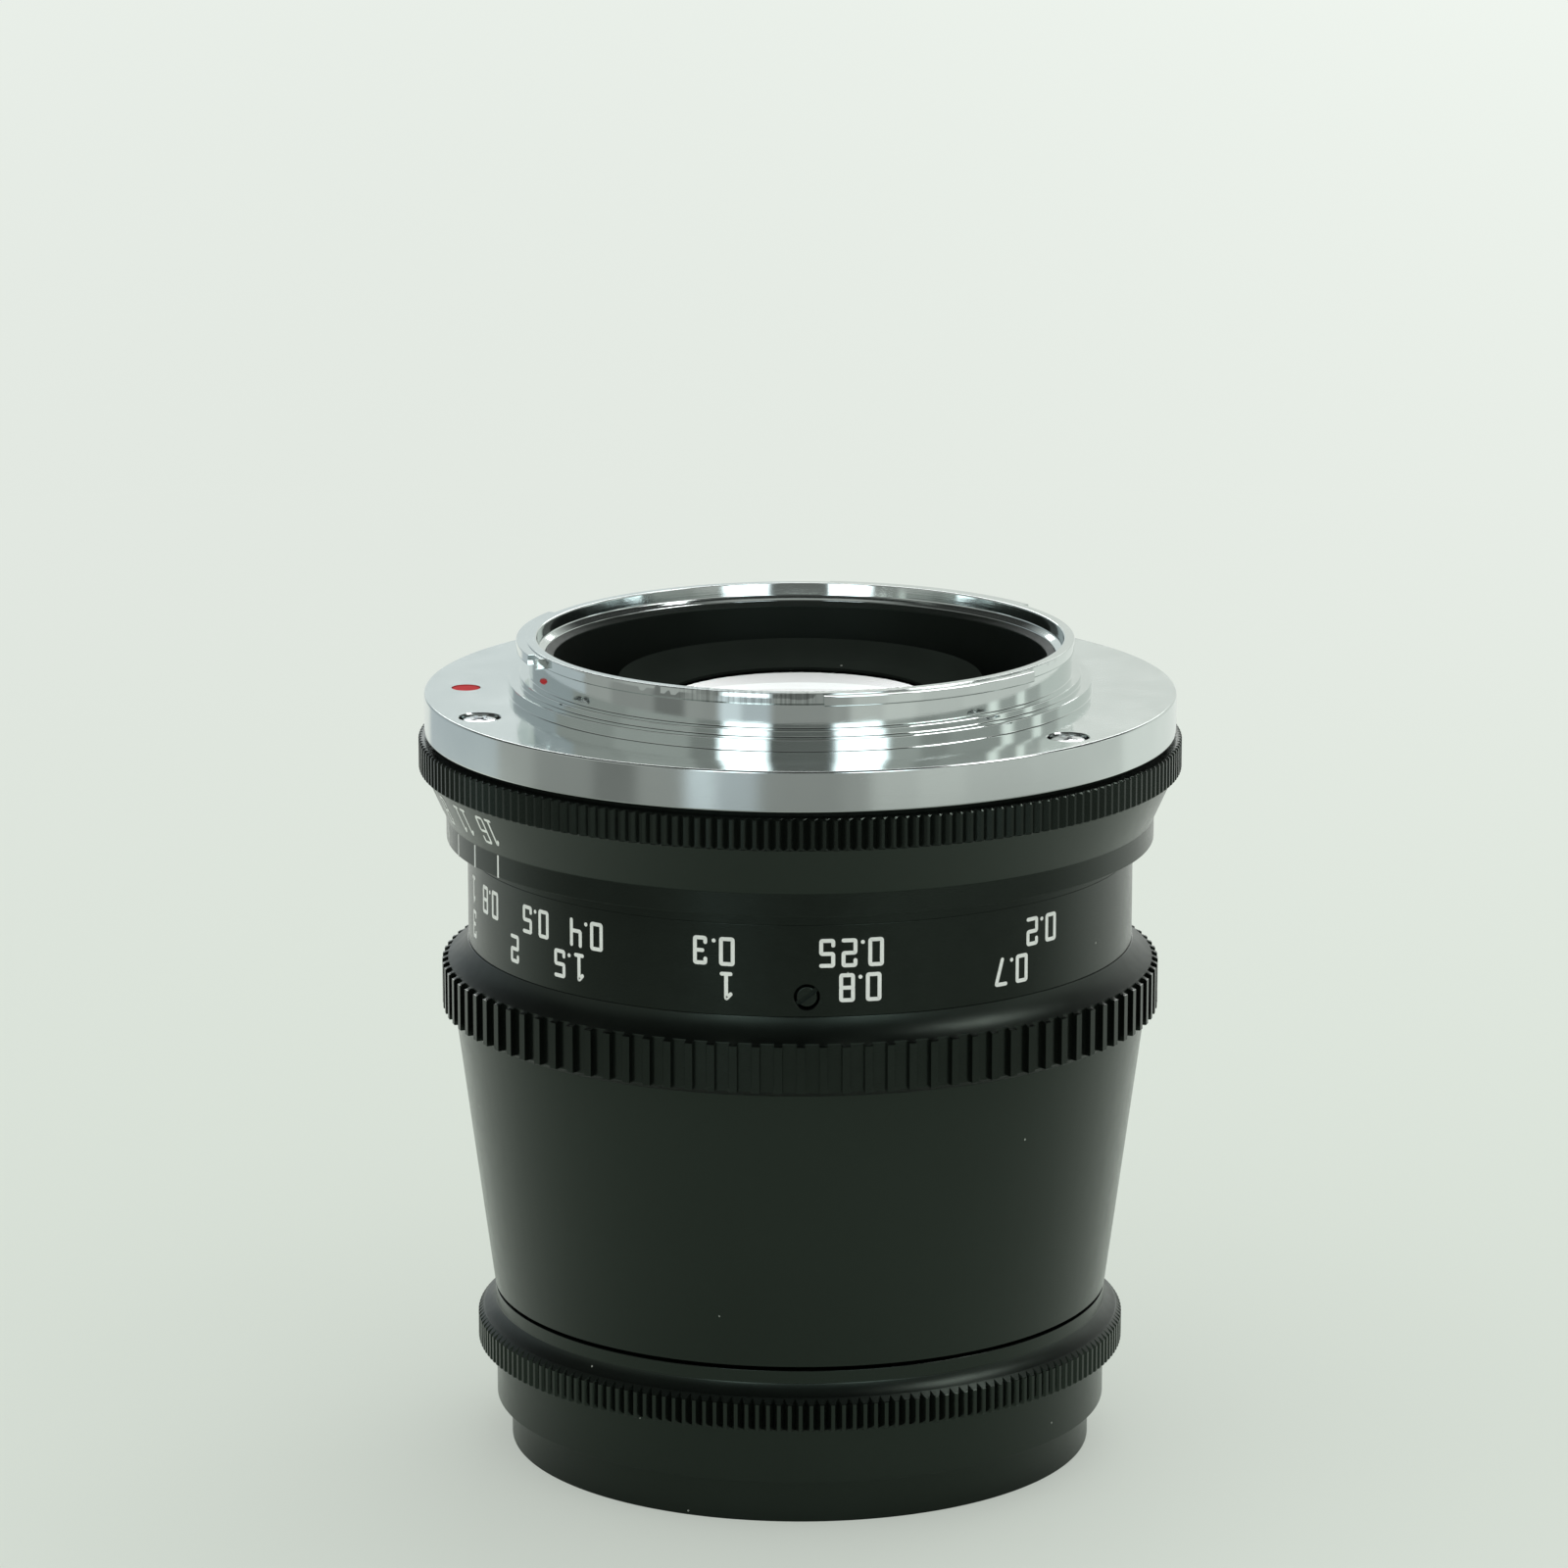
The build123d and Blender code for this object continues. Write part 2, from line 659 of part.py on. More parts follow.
def make_bayonet_mount():
    bevel = flange_bevel
    mount = turned(
        (baffle_seat_radius, skirt_front), (drive_bore_radius - seat_gap, skirt_front),
        (drive_bore_radius - seat_gap, flange_front), (flange_radius, flange_front),
        (flange_radius, flange_rear - bevel), (flange_radius - bevel, flange_rear),
        (spigot_radius, flange_rear),
        (spigot_radius, spigot_rear), (step_radius, spigot_rear), (step_radius, step_rear),
        (tube_radius, step_rear), (tube_radius, mouth_front), (mouth_radius, mouth_front),
        (mouth_radius, mount_rear - bevel / 2), (mouth_radius - bevel / 2, mount_rear),
        (throat_radius, mount_rear),
        (throat_radius, mount_rear - throat_length), (baffle_seat_radius, baffle_rear))
    notch = place(lug_notch_azimuth, lug_radius, mount_rear) * Box(
        2 * lug_notch_depth, lug_notch_width, 3 * mouth_length)
    for azimuth in around(lug_count, lug_azimuth):
        mount += arc_slot(tube_radius - lug_root, lug_radius, mouth_front, mount_rear - bevel / 2,
                          azimuth - lug_span / 2, azimuth + lug_span / 2)
    pockets = [Pos(*polar(dot_circle, dot_azimuth, flange_rear)) * Cylinder(dot_radius, 2 * dot_depth), notch]
    for azimuth in screw_azimuths:
        top = Pos(*polar(screw_circle, azimuth, flange_rear))
        pockets.append(top * Cylinder(screw_head_radius + screw_pocket_gap, 2 * screw_pocket_depth))
        pockets.append(top * Cylinder(screw_shank_radius + seat_gap, 3 * flange_length))
    return mount - pockets


def make_mount_index_dot():
    base = Pos(*polar(dot_circle, dot_azimuth, flange_rear - dot_depth))
    low = (Align.CENTER, Align.CENTER, Align.MIN)
    return base * Cylinder(dot_radius - seat_gap, dot_depth - seat_gap, align=low)


def make_rear_baffle():
    outer = baffle_seat_radius - seat_gap
    top = baffle_rear
    foot = top - baffle_height
    inner = outer - baffle_wall
    return turned(
        (outer, top), (outer, foot), (baffle_hole_radius, foot), (baffle_hole_radius, foot + baffle_wall),
        (inner - baffle_corner, foot + baffle_wall), (inner, top - baffle_lip))


def make_lens_barrel():
    recess = head_radius - head_wall
    seat = front_bore_1 + name_ring_seat
    barrel = turned(
        (recess, block_front), (head_radius, block_front), (head_radius, head_rear),
        (land_radius, head_rear), (land_radius, land_rear), (tail_radius, land_rear), (tail_radius, tail_rear),
        (iris_bay_radius, tail_rear), (iris_bay_radius, iris_bay_front), (iris_light_radius, iris_bay_front),
        (iris_light_radius, front_bore_3_rear), (front_bore_3, front_bore_3_rear),
        (front_bore_3, front_bore_2_rear), (front_bore_2, front_bore_2_rear),
        (front_bore_2, front_bore_1_rear), (front_bore_1, front_bore_1_rear),
        (front_bore_1, name_ring_rear + face_gap), (seat, name_ring_rear + face_gap),
        (recess, block_front + name_ring_sink + name_ring_rim + face_gap))
    slot_front = key_front - far_travel - free_gap
    keyway = Box(barrel_bore_radius, key_width + 2 * running_gap, 2 * (land_rear - slot_front),
                 align=(Align.MIN, Align.CENTER, Align.MIN))
    floor = barrel_bore_radius - key_thickness - free_gap / 2
    keyways = [place(a, floor, slot_front) * keyway for a in key_azimuths]
    half = math.degrees((cam_pin_radius + running_gap) / iris_bay_radius)
    window = arc_slot(
        iris_bay_radius - tail_wall, tail_radius + tail_wall, cam_middle - cam_pin_radius - slit_gap,
        cam_middle + cam_pin_radius + slit_gap, drive_azimuth - closed_turn - half,
        drive_azimuth + open_turn + half)
    return barrel - [*keyways, window]


def make_front_name_ring():
    outer = head_radius - head_wall - seat_gap
    front = block_front + name_ring_sink
    return turned(
        (outer - name_ring_rim_wall, front), (outer, front), (outer, front + name_ring_rim),
        (front_bore_1 + name_ring_seat, name_ring_rear), (name_ring_hole, name_ring_rear),
        (name_ring_hole, name_ring_rear - name_ring_lip))


def front_contact(number, r):
    """Height where a ring whose inner edge has radius r touches an element's front face."""
    return element_edges[number - 1][0] - max(0, rise(radii[number - 1], front_bulges[number - 1], r))


def rear_contact(number, r):
    return element_edges[number - 1][1] + max(0, rise(radii[number - 1], rear_bulges[number - 1], r))


def make_front_retaining_ring():
    inner = radii[0] - front_ring_wall
    return tube(inner, radii[0], name_ring_rear + face_gap, front_contact(1, inner))


def make_lens_element(number):
    radius = radii[number - 1]
    front, rear = element_edges[number - 1]
    front_rise, rear_rise = -front_bulges[number - 1], rear_bulges[number - 1]
    with BuildPart() as part:
        with BuildSketch(Plane.XZ):
            with BuildLine():
                ThreePointArc(*face_arc(radius, front, front_rise))
                Line((radius, front), (radius, rear))
                ThreePointArc(*face_arc(radius, rear, rear_rise))
                Line((0, rear + rear_rise), (0, front + front_rise))
            make_face()
        revolve(axis=Axis.Z)
    return part.part


def face_arc(radius, edge, vertex_rise):
    """Three points of a spherical face, from its vertex to its edge."""
    middle = edge + rise(radius, vertex_rise, radius / 2)
    return (0, edge + vertex_rise), (radius / 2, middle), (radius, edge)


def make_spacer(number):
    """A ring that keeps an element on its seat, or two elements apart."""
    if number == 1:
        return tube(radii[1] - spacer_wall, radii[1], seat_1, front_contact(2, radii[1]))
    if number == 2:
        inner = radii[2] - spacer_wall
        return tube(inner, radii[2], rear_contact(2, inner), front_contact(3, inner))
    if number == 3:
        inner = radii[5] - thin_spacer_wall
        return tube(inner, radii[5], rear_contact(6, inner), rear_cell_front + rear_bore_1_end)
    inner = radii[6] - thin_spacer_wall
    return tube(inner, radii[6], rear_contact(7, inner), rear_cell_front + rear_bore_2_end)


def make_rear_cell():
    z1 = rear_cell_front + rear_bore_1_end
    z2 = rear_cell_front + rear_bore_2_end
    flange = iris_bay_radius - seat_gap
    seat_radius_2 = rear_bore_2 - rear_seat_width
    seat_radius_3 = rear_bore_3 - rear_seat_width
    shoulder_2 = rear_cell_front + rear_seat_2
    shoulder_3 = rear_cell_front + rear_seat_3
    return turned(
        (rear_light_radius, rear_cell_front), (flange, rear_cell_front), (flange, rear_cell_flange_rear),
        (rear_cell_radius, rear_cell_flange_rear), (rear_cell_radius, rear_cell_rear),
        (rear_bore_3, rear_cell_rear), (rear_bore_3, shoulder_3), (seat_radius_3, shoulder_3),
        (seat_radius_3, z2), (rear_bore_2, z2), (rear_bore_2, shoulder_2), (seat_radius_2, shoulder_2),
        (seat_radius_2, z1), (rear_bore_1, z1), (rear_bore_1, seat_5), (rear_light_radius, seat_5))


def make_rear_retaining_ring():
    hole = rear_bore_3 - rear_ring_wall
    front = element_edges[7][1]
    lip = front + rise(radii[7], rear_bulges[7], hole) + seat_gap
    return turned(
        (hole, lip), (radii[7], front), (radii[7], rear_cell_rear), (rear_cell_radius, rear_cell_rear),
        (rear_cell_radius, rear_ring_rear - rear_ring_bevel),
        (rear_cell_radius - rear_ring_bevel, rear_ring_rear),
        (rear_cell_radius - rear_ring_step, rear_ring_rear - rear_ring_step_depth),
        (hole, rear_ring_rear - rear_ring_dish))


def make_iris_base_plate():
    front = iris_bay_front + seat_gap
    inner = blade_inner_radius + iris_plate_step
    plate = tube(inner, iris_bay_radius - seat_gap, front, front + iris_plate_length)
    holes = [blade_home(i) * Pos(blade_pivot_circle, 0, front) * Cylinder(
        blade_pin_radius + running_gap / 2, 3 * iris_plate_length) for i in range(blade_count)]
    return plate - holes


def blade_home(number):
    """Frame of a blade at the fully open setting, its local X through the pivot."""
    return Rot(0, 0, 360 / blade_count * number)


def blade_at(number, turn):
    """Frame of a blade that has turned by an angle about its pivot from fully open."""
    return blade_home(number) * Pos(blade_pivot_circle, 0) * Rot(0, 0, turn) * Pos(-blade_pivot_circle, 0)


def make_iris_blade(number):
    """Crescent with a tab, a pivot pin towards the front and a drive pin towards the rear."""
    pivot = blade_pivot_circle
    inner, outer, half = blade_inner_radius, blade_outer_radius, blade_tab_width / 2
    pin_x = pivot - blade_pin_inset
    pin_y = -blade_pin_drop
    with BuildPart() as part:
        with BuildSketch():
            with BuildLine():
                first = CenterArc((0, 0), outer, blade_first_angle, blade_last_angle - blade_first_angle)
                second = CenterArc((0, 0), inner, blade_first_angle, blade_last_angle - blade_first_angle)
                Line(first @ 0, second @ 0)
                Line(first @ 1, second @ 1)
            make_face()
            with BuildLine():
                Polyline(
                    (outer - 2 * half, 3 * half), (pivot, half), (pivot + half, 0), (pin_x + half, pin_y),
                    (pin_x, pin_y - half), (pin_x - half, pin_y), (outer - 2 * half, half), close=True)
            make_face()
        extrude(amount=blade_thickness)
    base = blade_front + blade_pitch * number
    low = (Align.CENTER, Align.CENTER, Align.MIN)
    pivot_pin = Pos(pivot, 0, blade_pin_foot) * Cylinder(
        blade_pin_radius, base - blade_pin_foot + blade_thickness, align=low)
    drive_pin = Pos(pin_x, pin_y, base) * Cylinder(blade_pin_radius, cam_rear - blade_gap - base, align=low)
    blade = Pos(0, 0, base) * part.part + pivot_pin + drive_pin
    return blade_at(number, blade_rest_turn) * blade


def make_iris_cam_ring():
    """Ring whose slots hold the drive pins at every setting between open and closed."""
    outer = iris_bay_radius - running_gap
    ring = tube(outer - cam_ring_wall, outer, cam_front, cam_rear)
    whole_turn = open_turn + closed_turn
    path = []
    for i in range(cam_path_steps + 1):
        share = i / cam_path_steps
        pin = blade_at(0, blade_turn * share) * Pos(blade_pivot_circle - blade_pin_inset, -blade_pin_drop)
        spot = (Rot(0, 0, whole_turn * share - open_turn) * pin).position
        path.append((spot.X, spot.Y))
    slot_radius = blade_pin_radius + running_gap / 2
    with BuildPart() as slot:
        with BuildSketch(Plane.XY.offset(cam_front - cam_ring_length)):
            with BuildLine():
                Spline(*path)
            trace(line_width=2 * slot_radius)
            with Locations(path[0], path[-1]):
                Circle(slot_radius)
        extrude(amount=3 * cam_ring_length)
    cuts = [blade_home(i) * slot.part for i in range(blade_count)]
    cuts.append(cam_pin(seat_gap))
    return ring - cuts


def cam_pin(gap=0.0):
    inner = iris_bay_radius - cam_pin_root - gap
    return radial_pin(cam_pin_radius + gap, inner, iris_bay_radius + cam_pin_reach, drive_azimuth, cam_middle)


def make_iris_cover_ring():
    outer = iris_bay_radius - seat_gap
    return tube(outer - iris_cover_wall, outer, iris_cover_front, iris_cover_rear)


open_share = stops_open / (stops_open + stops_closed)
blade_rest_turn = blade_turn * open_share

nodes = {
    "bayonet_mount": make_bayonet_mount(),
    "mount_screws": make_mount_screws(),
    "mount_index_dot": make_mount_index_dot(),
    "rear_baffle": make_rear_baffle(),
    "fixed_barrel": make_fixed_barrel(),
    "index_ring": make_index_ring(),
    "focus_retaining_ring": make_focus_retaining_ring(),
    "guide_keys": make_guide_keys(),
    "guide_key_screws": make_guide_key_screws(),
    "click_spring": make_click_spring(),
    "click_ball": make_click_ball(),
    "aperture_ring": make_aperture_ring(),
    "aperture_drive_pin": aperture_pin(),
    "iris_drive_ring": make_iris_drive_ring(),
    "focus_ring": make_focus_ring(),
    "helicoid_sleeve": make_helicoid_sleeve(),
    "distance_scale_ring": make_distance_scale_ring(),
    "scale_set_screws": make_scale_set_screws(),
    "focus_stop_screw": make_focus_stop_screw(),
    "lens_barrel": make_lens_barrel(),
    "front_collar": make_front_collar(),
    "front_name_ring": make_front_name_ring(),
    "front_retaining_ring": make_front_retaining_ring(),
    "rear_cell": make_rear_cell(),
    "rear_retaining_ring": make_rear_retaining_ring(),
    "iris_base_plate": make_iris_base_plate(),
    "iris_cam_ring": make_iris_cam_ring(),
    "iris_cam_pin": cam_pin(),
    "iris_cover_ring": make_iris_cover_ring(),
}
for number in range(1, len(radii) + 1):
    nodes[f"lens_element_{number}"] = make_lens_element(number)
for number in range(1, 5):
    nodes[f"spacer_ring_{number}"] = make_spacer(number)
for number in range(blade_count):
    nodes[f"iris_blade_{number + 1:02d}"] = make_iris_blade(number)

os.makedirs("parts", exist_ok=True)
for name, shape in nodes.items():
    save(shape, name)
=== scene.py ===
import json
import math

import bmesh
import bpy
from mathutils import Matrix, Vector


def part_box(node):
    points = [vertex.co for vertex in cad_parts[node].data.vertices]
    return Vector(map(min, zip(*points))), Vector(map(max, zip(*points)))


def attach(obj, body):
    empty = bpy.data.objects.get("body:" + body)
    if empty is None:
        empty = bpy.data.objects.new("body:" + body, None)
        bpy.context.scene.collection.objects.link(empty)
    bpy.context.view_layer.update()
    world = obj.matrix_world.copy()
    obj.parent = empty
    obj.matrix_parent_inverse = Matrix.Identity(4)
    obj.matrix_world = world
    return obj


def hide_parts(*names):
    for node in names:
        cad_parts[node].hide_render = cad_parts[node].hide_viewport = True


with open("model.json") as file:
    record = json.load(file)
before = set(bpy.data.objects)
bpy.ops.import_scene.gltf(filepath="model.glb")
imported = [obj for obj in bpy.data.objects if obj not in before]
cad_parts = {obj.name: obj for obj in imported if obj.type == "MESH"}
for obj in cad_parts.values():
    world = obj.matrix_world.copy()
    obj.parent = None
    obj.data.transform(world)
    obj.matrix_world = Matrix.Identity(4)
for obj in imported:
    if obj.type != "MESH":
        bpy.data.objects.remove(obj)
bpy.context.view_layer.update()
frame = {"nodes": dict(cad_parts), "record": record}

# A wide-angle prime lens that stands on its front rim, mount upwards. Sizes are in millimetres,
# azimuths in degrees: 0 faces the camera, -90 is the lens's own top with the red dot.

MM = 0.001
TURN = 2 * math.pi
AROUND = 288            # facets round a turned surface
SMALL_AROUND = 48       # facets round a small plug
POCKET_AROUND = 64      # facets round the pockets in the mount
EDGE = 0.05             # rounding of a turned edge
EDGE_STEPS = 3
EDGE_SUPPORT = 0.03     # ring of points beside each rounded edge, so that flats shade flat
LEAST_TURN = math.radians(20)       # corners that turn less than this stay as they are
CUT_SHARE = 0.35        # most of a side that one rounding may take
SUPPORT_SHARE = 0.45    # most of a side between a corner and its supporting point
SHARP = math.radians(32)            # edges that turn more than this shade crisp
WELD = 0.0004           # distance under which points are one
REPEAT_WELD = 4 * WELD  # the same where repeats meet, whose points have been turned into place


# Shapes


def on_barrel(radius, azimuth, height):
    """A place at a radius and a height in millimetres and an azimuth in radians, in metres."""
    return Vector((radius * math.sin(azimuth), -radius * math.cos(azimuth), height)) * MM


def reach(name):
    """Outer radius, lowest and highest point of a node of the frame, in millimetres."""
    low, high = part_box(name)
    return max(high.x, high.y, -low.x, -low.y) / MM, low.z / MM, high.z / MM


def eased(outline, size=EDGE, every_corner=False):
    """The closed outline with its corners rounded and a supporting point on both sides of each."""
    rounded = []
    for i, corner in enumerate(outline):
        here = Vector(corner)
        runs = [Vector(outline[i - 1]) - here, Vector(outline[(i + 1) % len(outline)]) - here]
        lengths = [run.length for run in runs]
        if min(lengths) < WELD:
            # Coinciding corners still give their points, so that outlines can be joined row by row
            turn, ways = math.pi, [Vector((0, 0)), Vector((0, 0))]
        else:
            ways = [run / length for run, length in zip(runs, lengths)]
            turn = math.pi - ways[0].angle(ways[1])
        if turn < LEAST_TURN and not every_corner:
            rounded.append(tuple(here))
            continue
        cut = min(size, CUT_SHARE * min(lengths))
        support = min(cut + EDGE_SUPPORT, SUPPORT_SHARE * min(lengths))
        start = here + ways[0] * cut
        end = here + ways[1] * cut
        rounded.append(tuple(here + ways[0] * support))
        for step in range(EDGE_STEPS + 1):
            t = step / EDGE_STEPS
            rounded.append(tuple(start * (1 - t) ** 2 + here * 2 * t * (1 - t) + end * t ** 2))
        rounded.append(tuple(here + ways[1] * support))
    return rounded


def bowed(start, end, sag, steps=8):
    """Points from start to end on a shallow curve; a positive sag bows it towards the axis."""
    start, end = Vector(start), Vector(end)
    across = (end - start).normalized()
    inward = Vector((-abs(across.y), -abs(across.x) if across.x * across.y < 0 else abs(across.x)))
    line = []
    for step in range(steps + 1):
        t = step / steps
        line.append(tuple(start.lerp(end, t) + inward * sag * 4 * t * (1 - t)))
    return line


def stretched(columns, closed_round=True):
    """Faces between neighbouring columns, each an azimuth in radians and a closed outline."""
    work = bmesh.new()
    grid = [[work.verts.new(on_barrel(r, azimuth, z)) for r, z in outline] for azimuth, outline in columns]
    rows = len(columns[0][1])
    pairs = list(zip(range(len(grid)), range(1, len(grid))))
    if closed_round:
        pairs.append((len(grid) - 1, 0))
    for near, far in pairs:
        for i in range(rows):
            j = (i + 1) % rows
            lower_near, upper_near = columns[near][1][i], columns[near][1][j]
            lower_far, upper_far = columns[far][1][i], columns[far][1][j]
            a, b, c, d = grid[near][i], grid[far][i], grid[far][j], grid[near][j]
            rising = lower_near[0] + upper_far[0]
            falling = lower_far[0] + upper_near[0]
            if abs(rising - falling) < WELD:
                work.faces.new((a, b, c, d))
            elif rising > falling:
                work.faces.new((a, b, c))
                work.faces.new((a, c, d))
            else:
                work.faces.new((a, b, d))
                work.faces.new((b, c, d))
    return work


def mesh_of(work, name="shape"):
    """The mesh of a bmesh; the bmesh goes."""
    mesh = bpy.data.meshes.new(name)
    work.to_mesh(mesh)
    work.free()
    return mesh


def shaded(mesh):
    """The mesh, shaded smooth with crisp edges."""
    mesh.shade_smooth()
    mesh.set_sharp_from_angle(angle=SHARP)
    return mesh


def settled(work, recalculate=True):
    """The finished mesh of a bmesh: doubles merged, normals outwards, shaded."""
    bmesh.ops.remove_doubles(work, verts=work.verts, dist=WELD * MM)
    if recalculate:
        bmesh.ops.recalc_face_normals(work, faces=work.faces)
    return shaded(mesh_of(work))


def turned(outline, around=AROUND):
    """A closed solid of revolution."""
    return settled(stretched([(TURN * i / around, outline) for i in range(around)]))


def merged(*meshes):
    """Several meshes in one."""
    work = bmesh.new()
    for mesh in meshes:
        work.from_mesh(mesh)
    bmesh.ops.recalc_face_normals(work, faces=work.faces)
    return shaded(mesh_of(work))


def evaluated(source):
    """The plain mesh of an object with its modifiers applied; the object goes."""
    bpy.context.view_layer.update()
    graph = bpy.context.evaluated_depsgraph_get()
    mesh = bpy.data.meshes.new_from_object(source.evaluated_get(graph))
    bpy.data.objects.remove(source)
    return mesh


def carved(mesh, cutter):
    """The mesh with the cutter's shapes taken out of it."""
    body = bpy.data.objects.new("body", mesh)
    tool = bpy.data.objects.new("tool", cutter)
    for item in (body, tool):
        bpy.context.scene.collection.objects.link(item)
    cut = body.modifiers.new("cut", "BOOLEAN")
    cut.object = tool
    cut.operation = "DIFFERENCE"
    cut.solver = "EXACT"
    result = evaluated(body)
    bpy.data.objects.remove(tool)
    return shaded(result)


def node(tree, kind, inputs=None, **settings):
    """A new node with its settings, and its inputs given as values or as other nodes' outputs."""
    made = tree.nodes.new(kind)
    for name, value in settings.items():
        setattr(made, name, value)
    for name, value in (inputs or {}).items():
        socket = made.inputs[name]
        if isinstance(value, bpy.types.NodeSocket):
            tree.links.new(value, socket)
        else:
            socket.default_value = value
    return made


def ring_tree():
    """Nodes that repeat one shape evenly round the lens axis and weld the repeats together."""
    tree = bpy.data.node_groups.new("repeat_round_axis", "GeometryNodeTree")
    face = tree.interface
    for name, kind in (("Shape", "Geometry"), ("Count", "Int"), ("Weld", "Float"), ("Finish", "Material")):
        face.new_socket(name=name, in_out="INPUT", socket_type=f"NodeSocket{kind}")
    face.new_socket(name="Ring", in_out="OUTPUT", socket_type="NodeSocketGeometry")
    given = tree.nodes.new("NodeGroupInput")
    count = given.outputs["Count"]
    step = node(tree, "ShaderNodeMath", {0: TURN, 1: count}, operation="DIVIDE").outputs[0]
    number = node(tree, "GeometryNodeInputIndex").outputs[0]
    angle = node(tree, "ShaderNodeMath", {0: number, 1: step}, operation="MULTIPLY").outputs[0]
    spin = node(tree, "ShaderNodeCombineXYZ", {"Z": angle}).outputs[0]
    places = node(tree, "GeometryNodePoints", {"Count": count}).outputs[0]
    copies = node(tree, "GeometryNodeInstanceOnPoints", {
        "Points": places, "Instance": given.outputs["Shape"], "Rotation": spin}).outputs[0]
    real = node(tree, "GeometryNodeRealizeInstances", {"Geometry": copies}).outputs[0]
    welded = node(tree, "GeometryNodeMergeByDistance", {
        "Geometry": real, "Distance": given.outputs["Weld"]}).outputs[0]
    finished = node(tree, "GeometryNodeSetMaterial", {
        "Geometry": welded, "Material": given.outputs["Finish"]}).outputs[0]
    tree.links.new(finished, tree.nodes.new("NodeGroupOutput").inputs[0])
    return tree


REPEAT = ring_tree()


def repeated(shape, count, finish):
    """The shape repeated round the axis, as one plain mesh."""
    source = bpy.data.objects.new("repeat", shape)
    bpy.context.scene.collection.objects.link(source)
    modifier = source.modifiers.new("repeat", "NODES")
    modifier.node_group = REPEAT
    sockets = {item.name: item.identifier for item in REPEAT.interface.items_tree}
    modifier[sockets["Count"]] = count
    modifier[sockets["Weld"]] = REPEAT_WELD * MM
    modifier[sockets["Finish"]] = finish
    return shaded(evaluated(source))


def finished_piece(name, mesh, body, slot, finish, *nodes):
    """An object that rides on a body, takes a finish and hides the nodes of the frame that it stands for;
    the slot is not used.
    """
    mesh.materials.clear()
    mesh.materials.append(finish)
    mesh.name = name
    made = bpy.data.objects.new(name, mesh)
    bpy.context.scene.collection.objects.link(made)
    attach(made, body)
    if nodes:
        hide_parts(*nodes)


# Finishes


def new_finish(name):
    """A new material with its node tree, its surface node and the object's own coordinates."""
    finish = bpy.data.materials.new(name)
    finish.use_nodes = True
    tree = finish.node_tree
    tree.nodes.clear()
    surface = tree.nodes.new("ShaderNodeBsdfPrincipled")
    output = tree.nodes.new("ShaderNodeOutputMaterial")
    tree.links.new(surface.outputs[0], output.inputs["Surface"])
    place = tree.nodes.new("ShaderNodeTexCoord").outputs["Object"]
    return finish, tree, surface, place


def noise(tree, place, size, detail=2.0):
    """Noise whose features are about size millimetres across."""
    return node(tree, "ShaderNodeTexNoise", {
        "Vector": place, "Scale": 1 / (size * MM), "Detail": detail}).outputs["Fac"]


def ranged(tree, value, low, high, to_low, to_high, smooth=False):
    """A value moved from one range to another and kept inside it."""
    return node(tree, "ShaderNodeMapRange", {
        "Value": value, "From Min": low, "From Max": high, "To Min": to_low, "To Max": to_high},
        interpolation_type="SMOOTHSTEP" if smooth else "LINEAR").outputs[0]


def maths(tree, operation, first, second=0.0):
    """The outcome of one sum on values or other nodes' outputs."""
    return node(tree, "ShaderNodeMath", {0: first, 1: second}, operation=operation).outputs[0]


def blended(tree, share, first, second):
    """A colour between two others, from values or other nodes' outputs."""
    made = node(tree, "ShaderNodeMix", data_type="RGBA")
    for socket, value in ((made.inputs[0], share), (made.inputs[6], first), (made.inputs[7], second)):
        if isinstance(value, bpy.types.NodeSocket):
            tree.links.new(value, socket)
        else:
            socket.default_value = value
    return made.outputs[2]


def bumped(tree, surface, height, strength, distance):
    """Joins a height of up to distance millimetres to the surface's normal."""
    bump = node(tree, "ShaderNodeBump", {
        "Height": height, "Strength": strength, "Distance": distance * MM})
    tree.links.new(bump.outputs[0], surface.inputs["Normal"])


AROUND_RATE = 0.02      # how slowly turning marks change round the axis, against along the section


def turning_place(tree, place):
    """Coordinates along a turned surface's section, where turning marks run, and the radius."""
    across, depth, height = node(tree, "ShaderNodeSeparateXYZ", {0: place}).outputs
    flat = node(tree, "ShaderNodeCombineXYZ", {"X": across, "Y": depth}).outputs[0]
    radius = node(tree, "ShaderNodeVectorMath", {0: flat}, operation="LENGTH").outputs["Value"]
    slow = maths(tree, "MULTIPLY", across, AROUND_RATE)
    section = node(tree, "ShaderNodeCombineXYZ", {"X": radius, "Y": height, "Z": slow}).outputs[0]
    return section, radius


def specks(tree, place, cell, radius, share):
    """Mask of sparse dust specks: one in some of the cells."""
    cells = node(tree, "ShaderNodeTexVoronoi", {"Vector": place, "Scale": 1 / (cell * MM)})
    near = maths(tree, "LESS_THAN", cells.outputs["Distance"], radius / cell)
    pick = node(tree, "ShaderNodeSeparateColor", {0: cells.outputs["Color"]}).outputs[0]
    return maths(tree, "MULTIPLY", near, maths(tree, "LESS_THAN", pick, share))


def inside(tree, value, low, high):
    """Mask of the places where a length lies between two measures in millimetres."""
    past = maths(tree, "GREATER_THAN", value, low * MM)
    return maths(tree, "MULTIPLY", past, maths(tree, "LESS_THAN", value, high * MM))


BLACK_TINT = (0.8, 1.0, 0.84)
BLACK_SPREAD = 1.6      # how much lighter the lightest places are than the shade
DUST_COLOUR = (0.30, 0.32, 0.29, 1)
DUST_CELL = 3.1
DUST_RADIUS = 0.085
DUST_ROUGH = 0.8
UNEVEN_SHEEN = 0.025    # how far the roughness strays to either side
SLOPE_ROUGH = 0.14      # how much rougher the dull slopes are


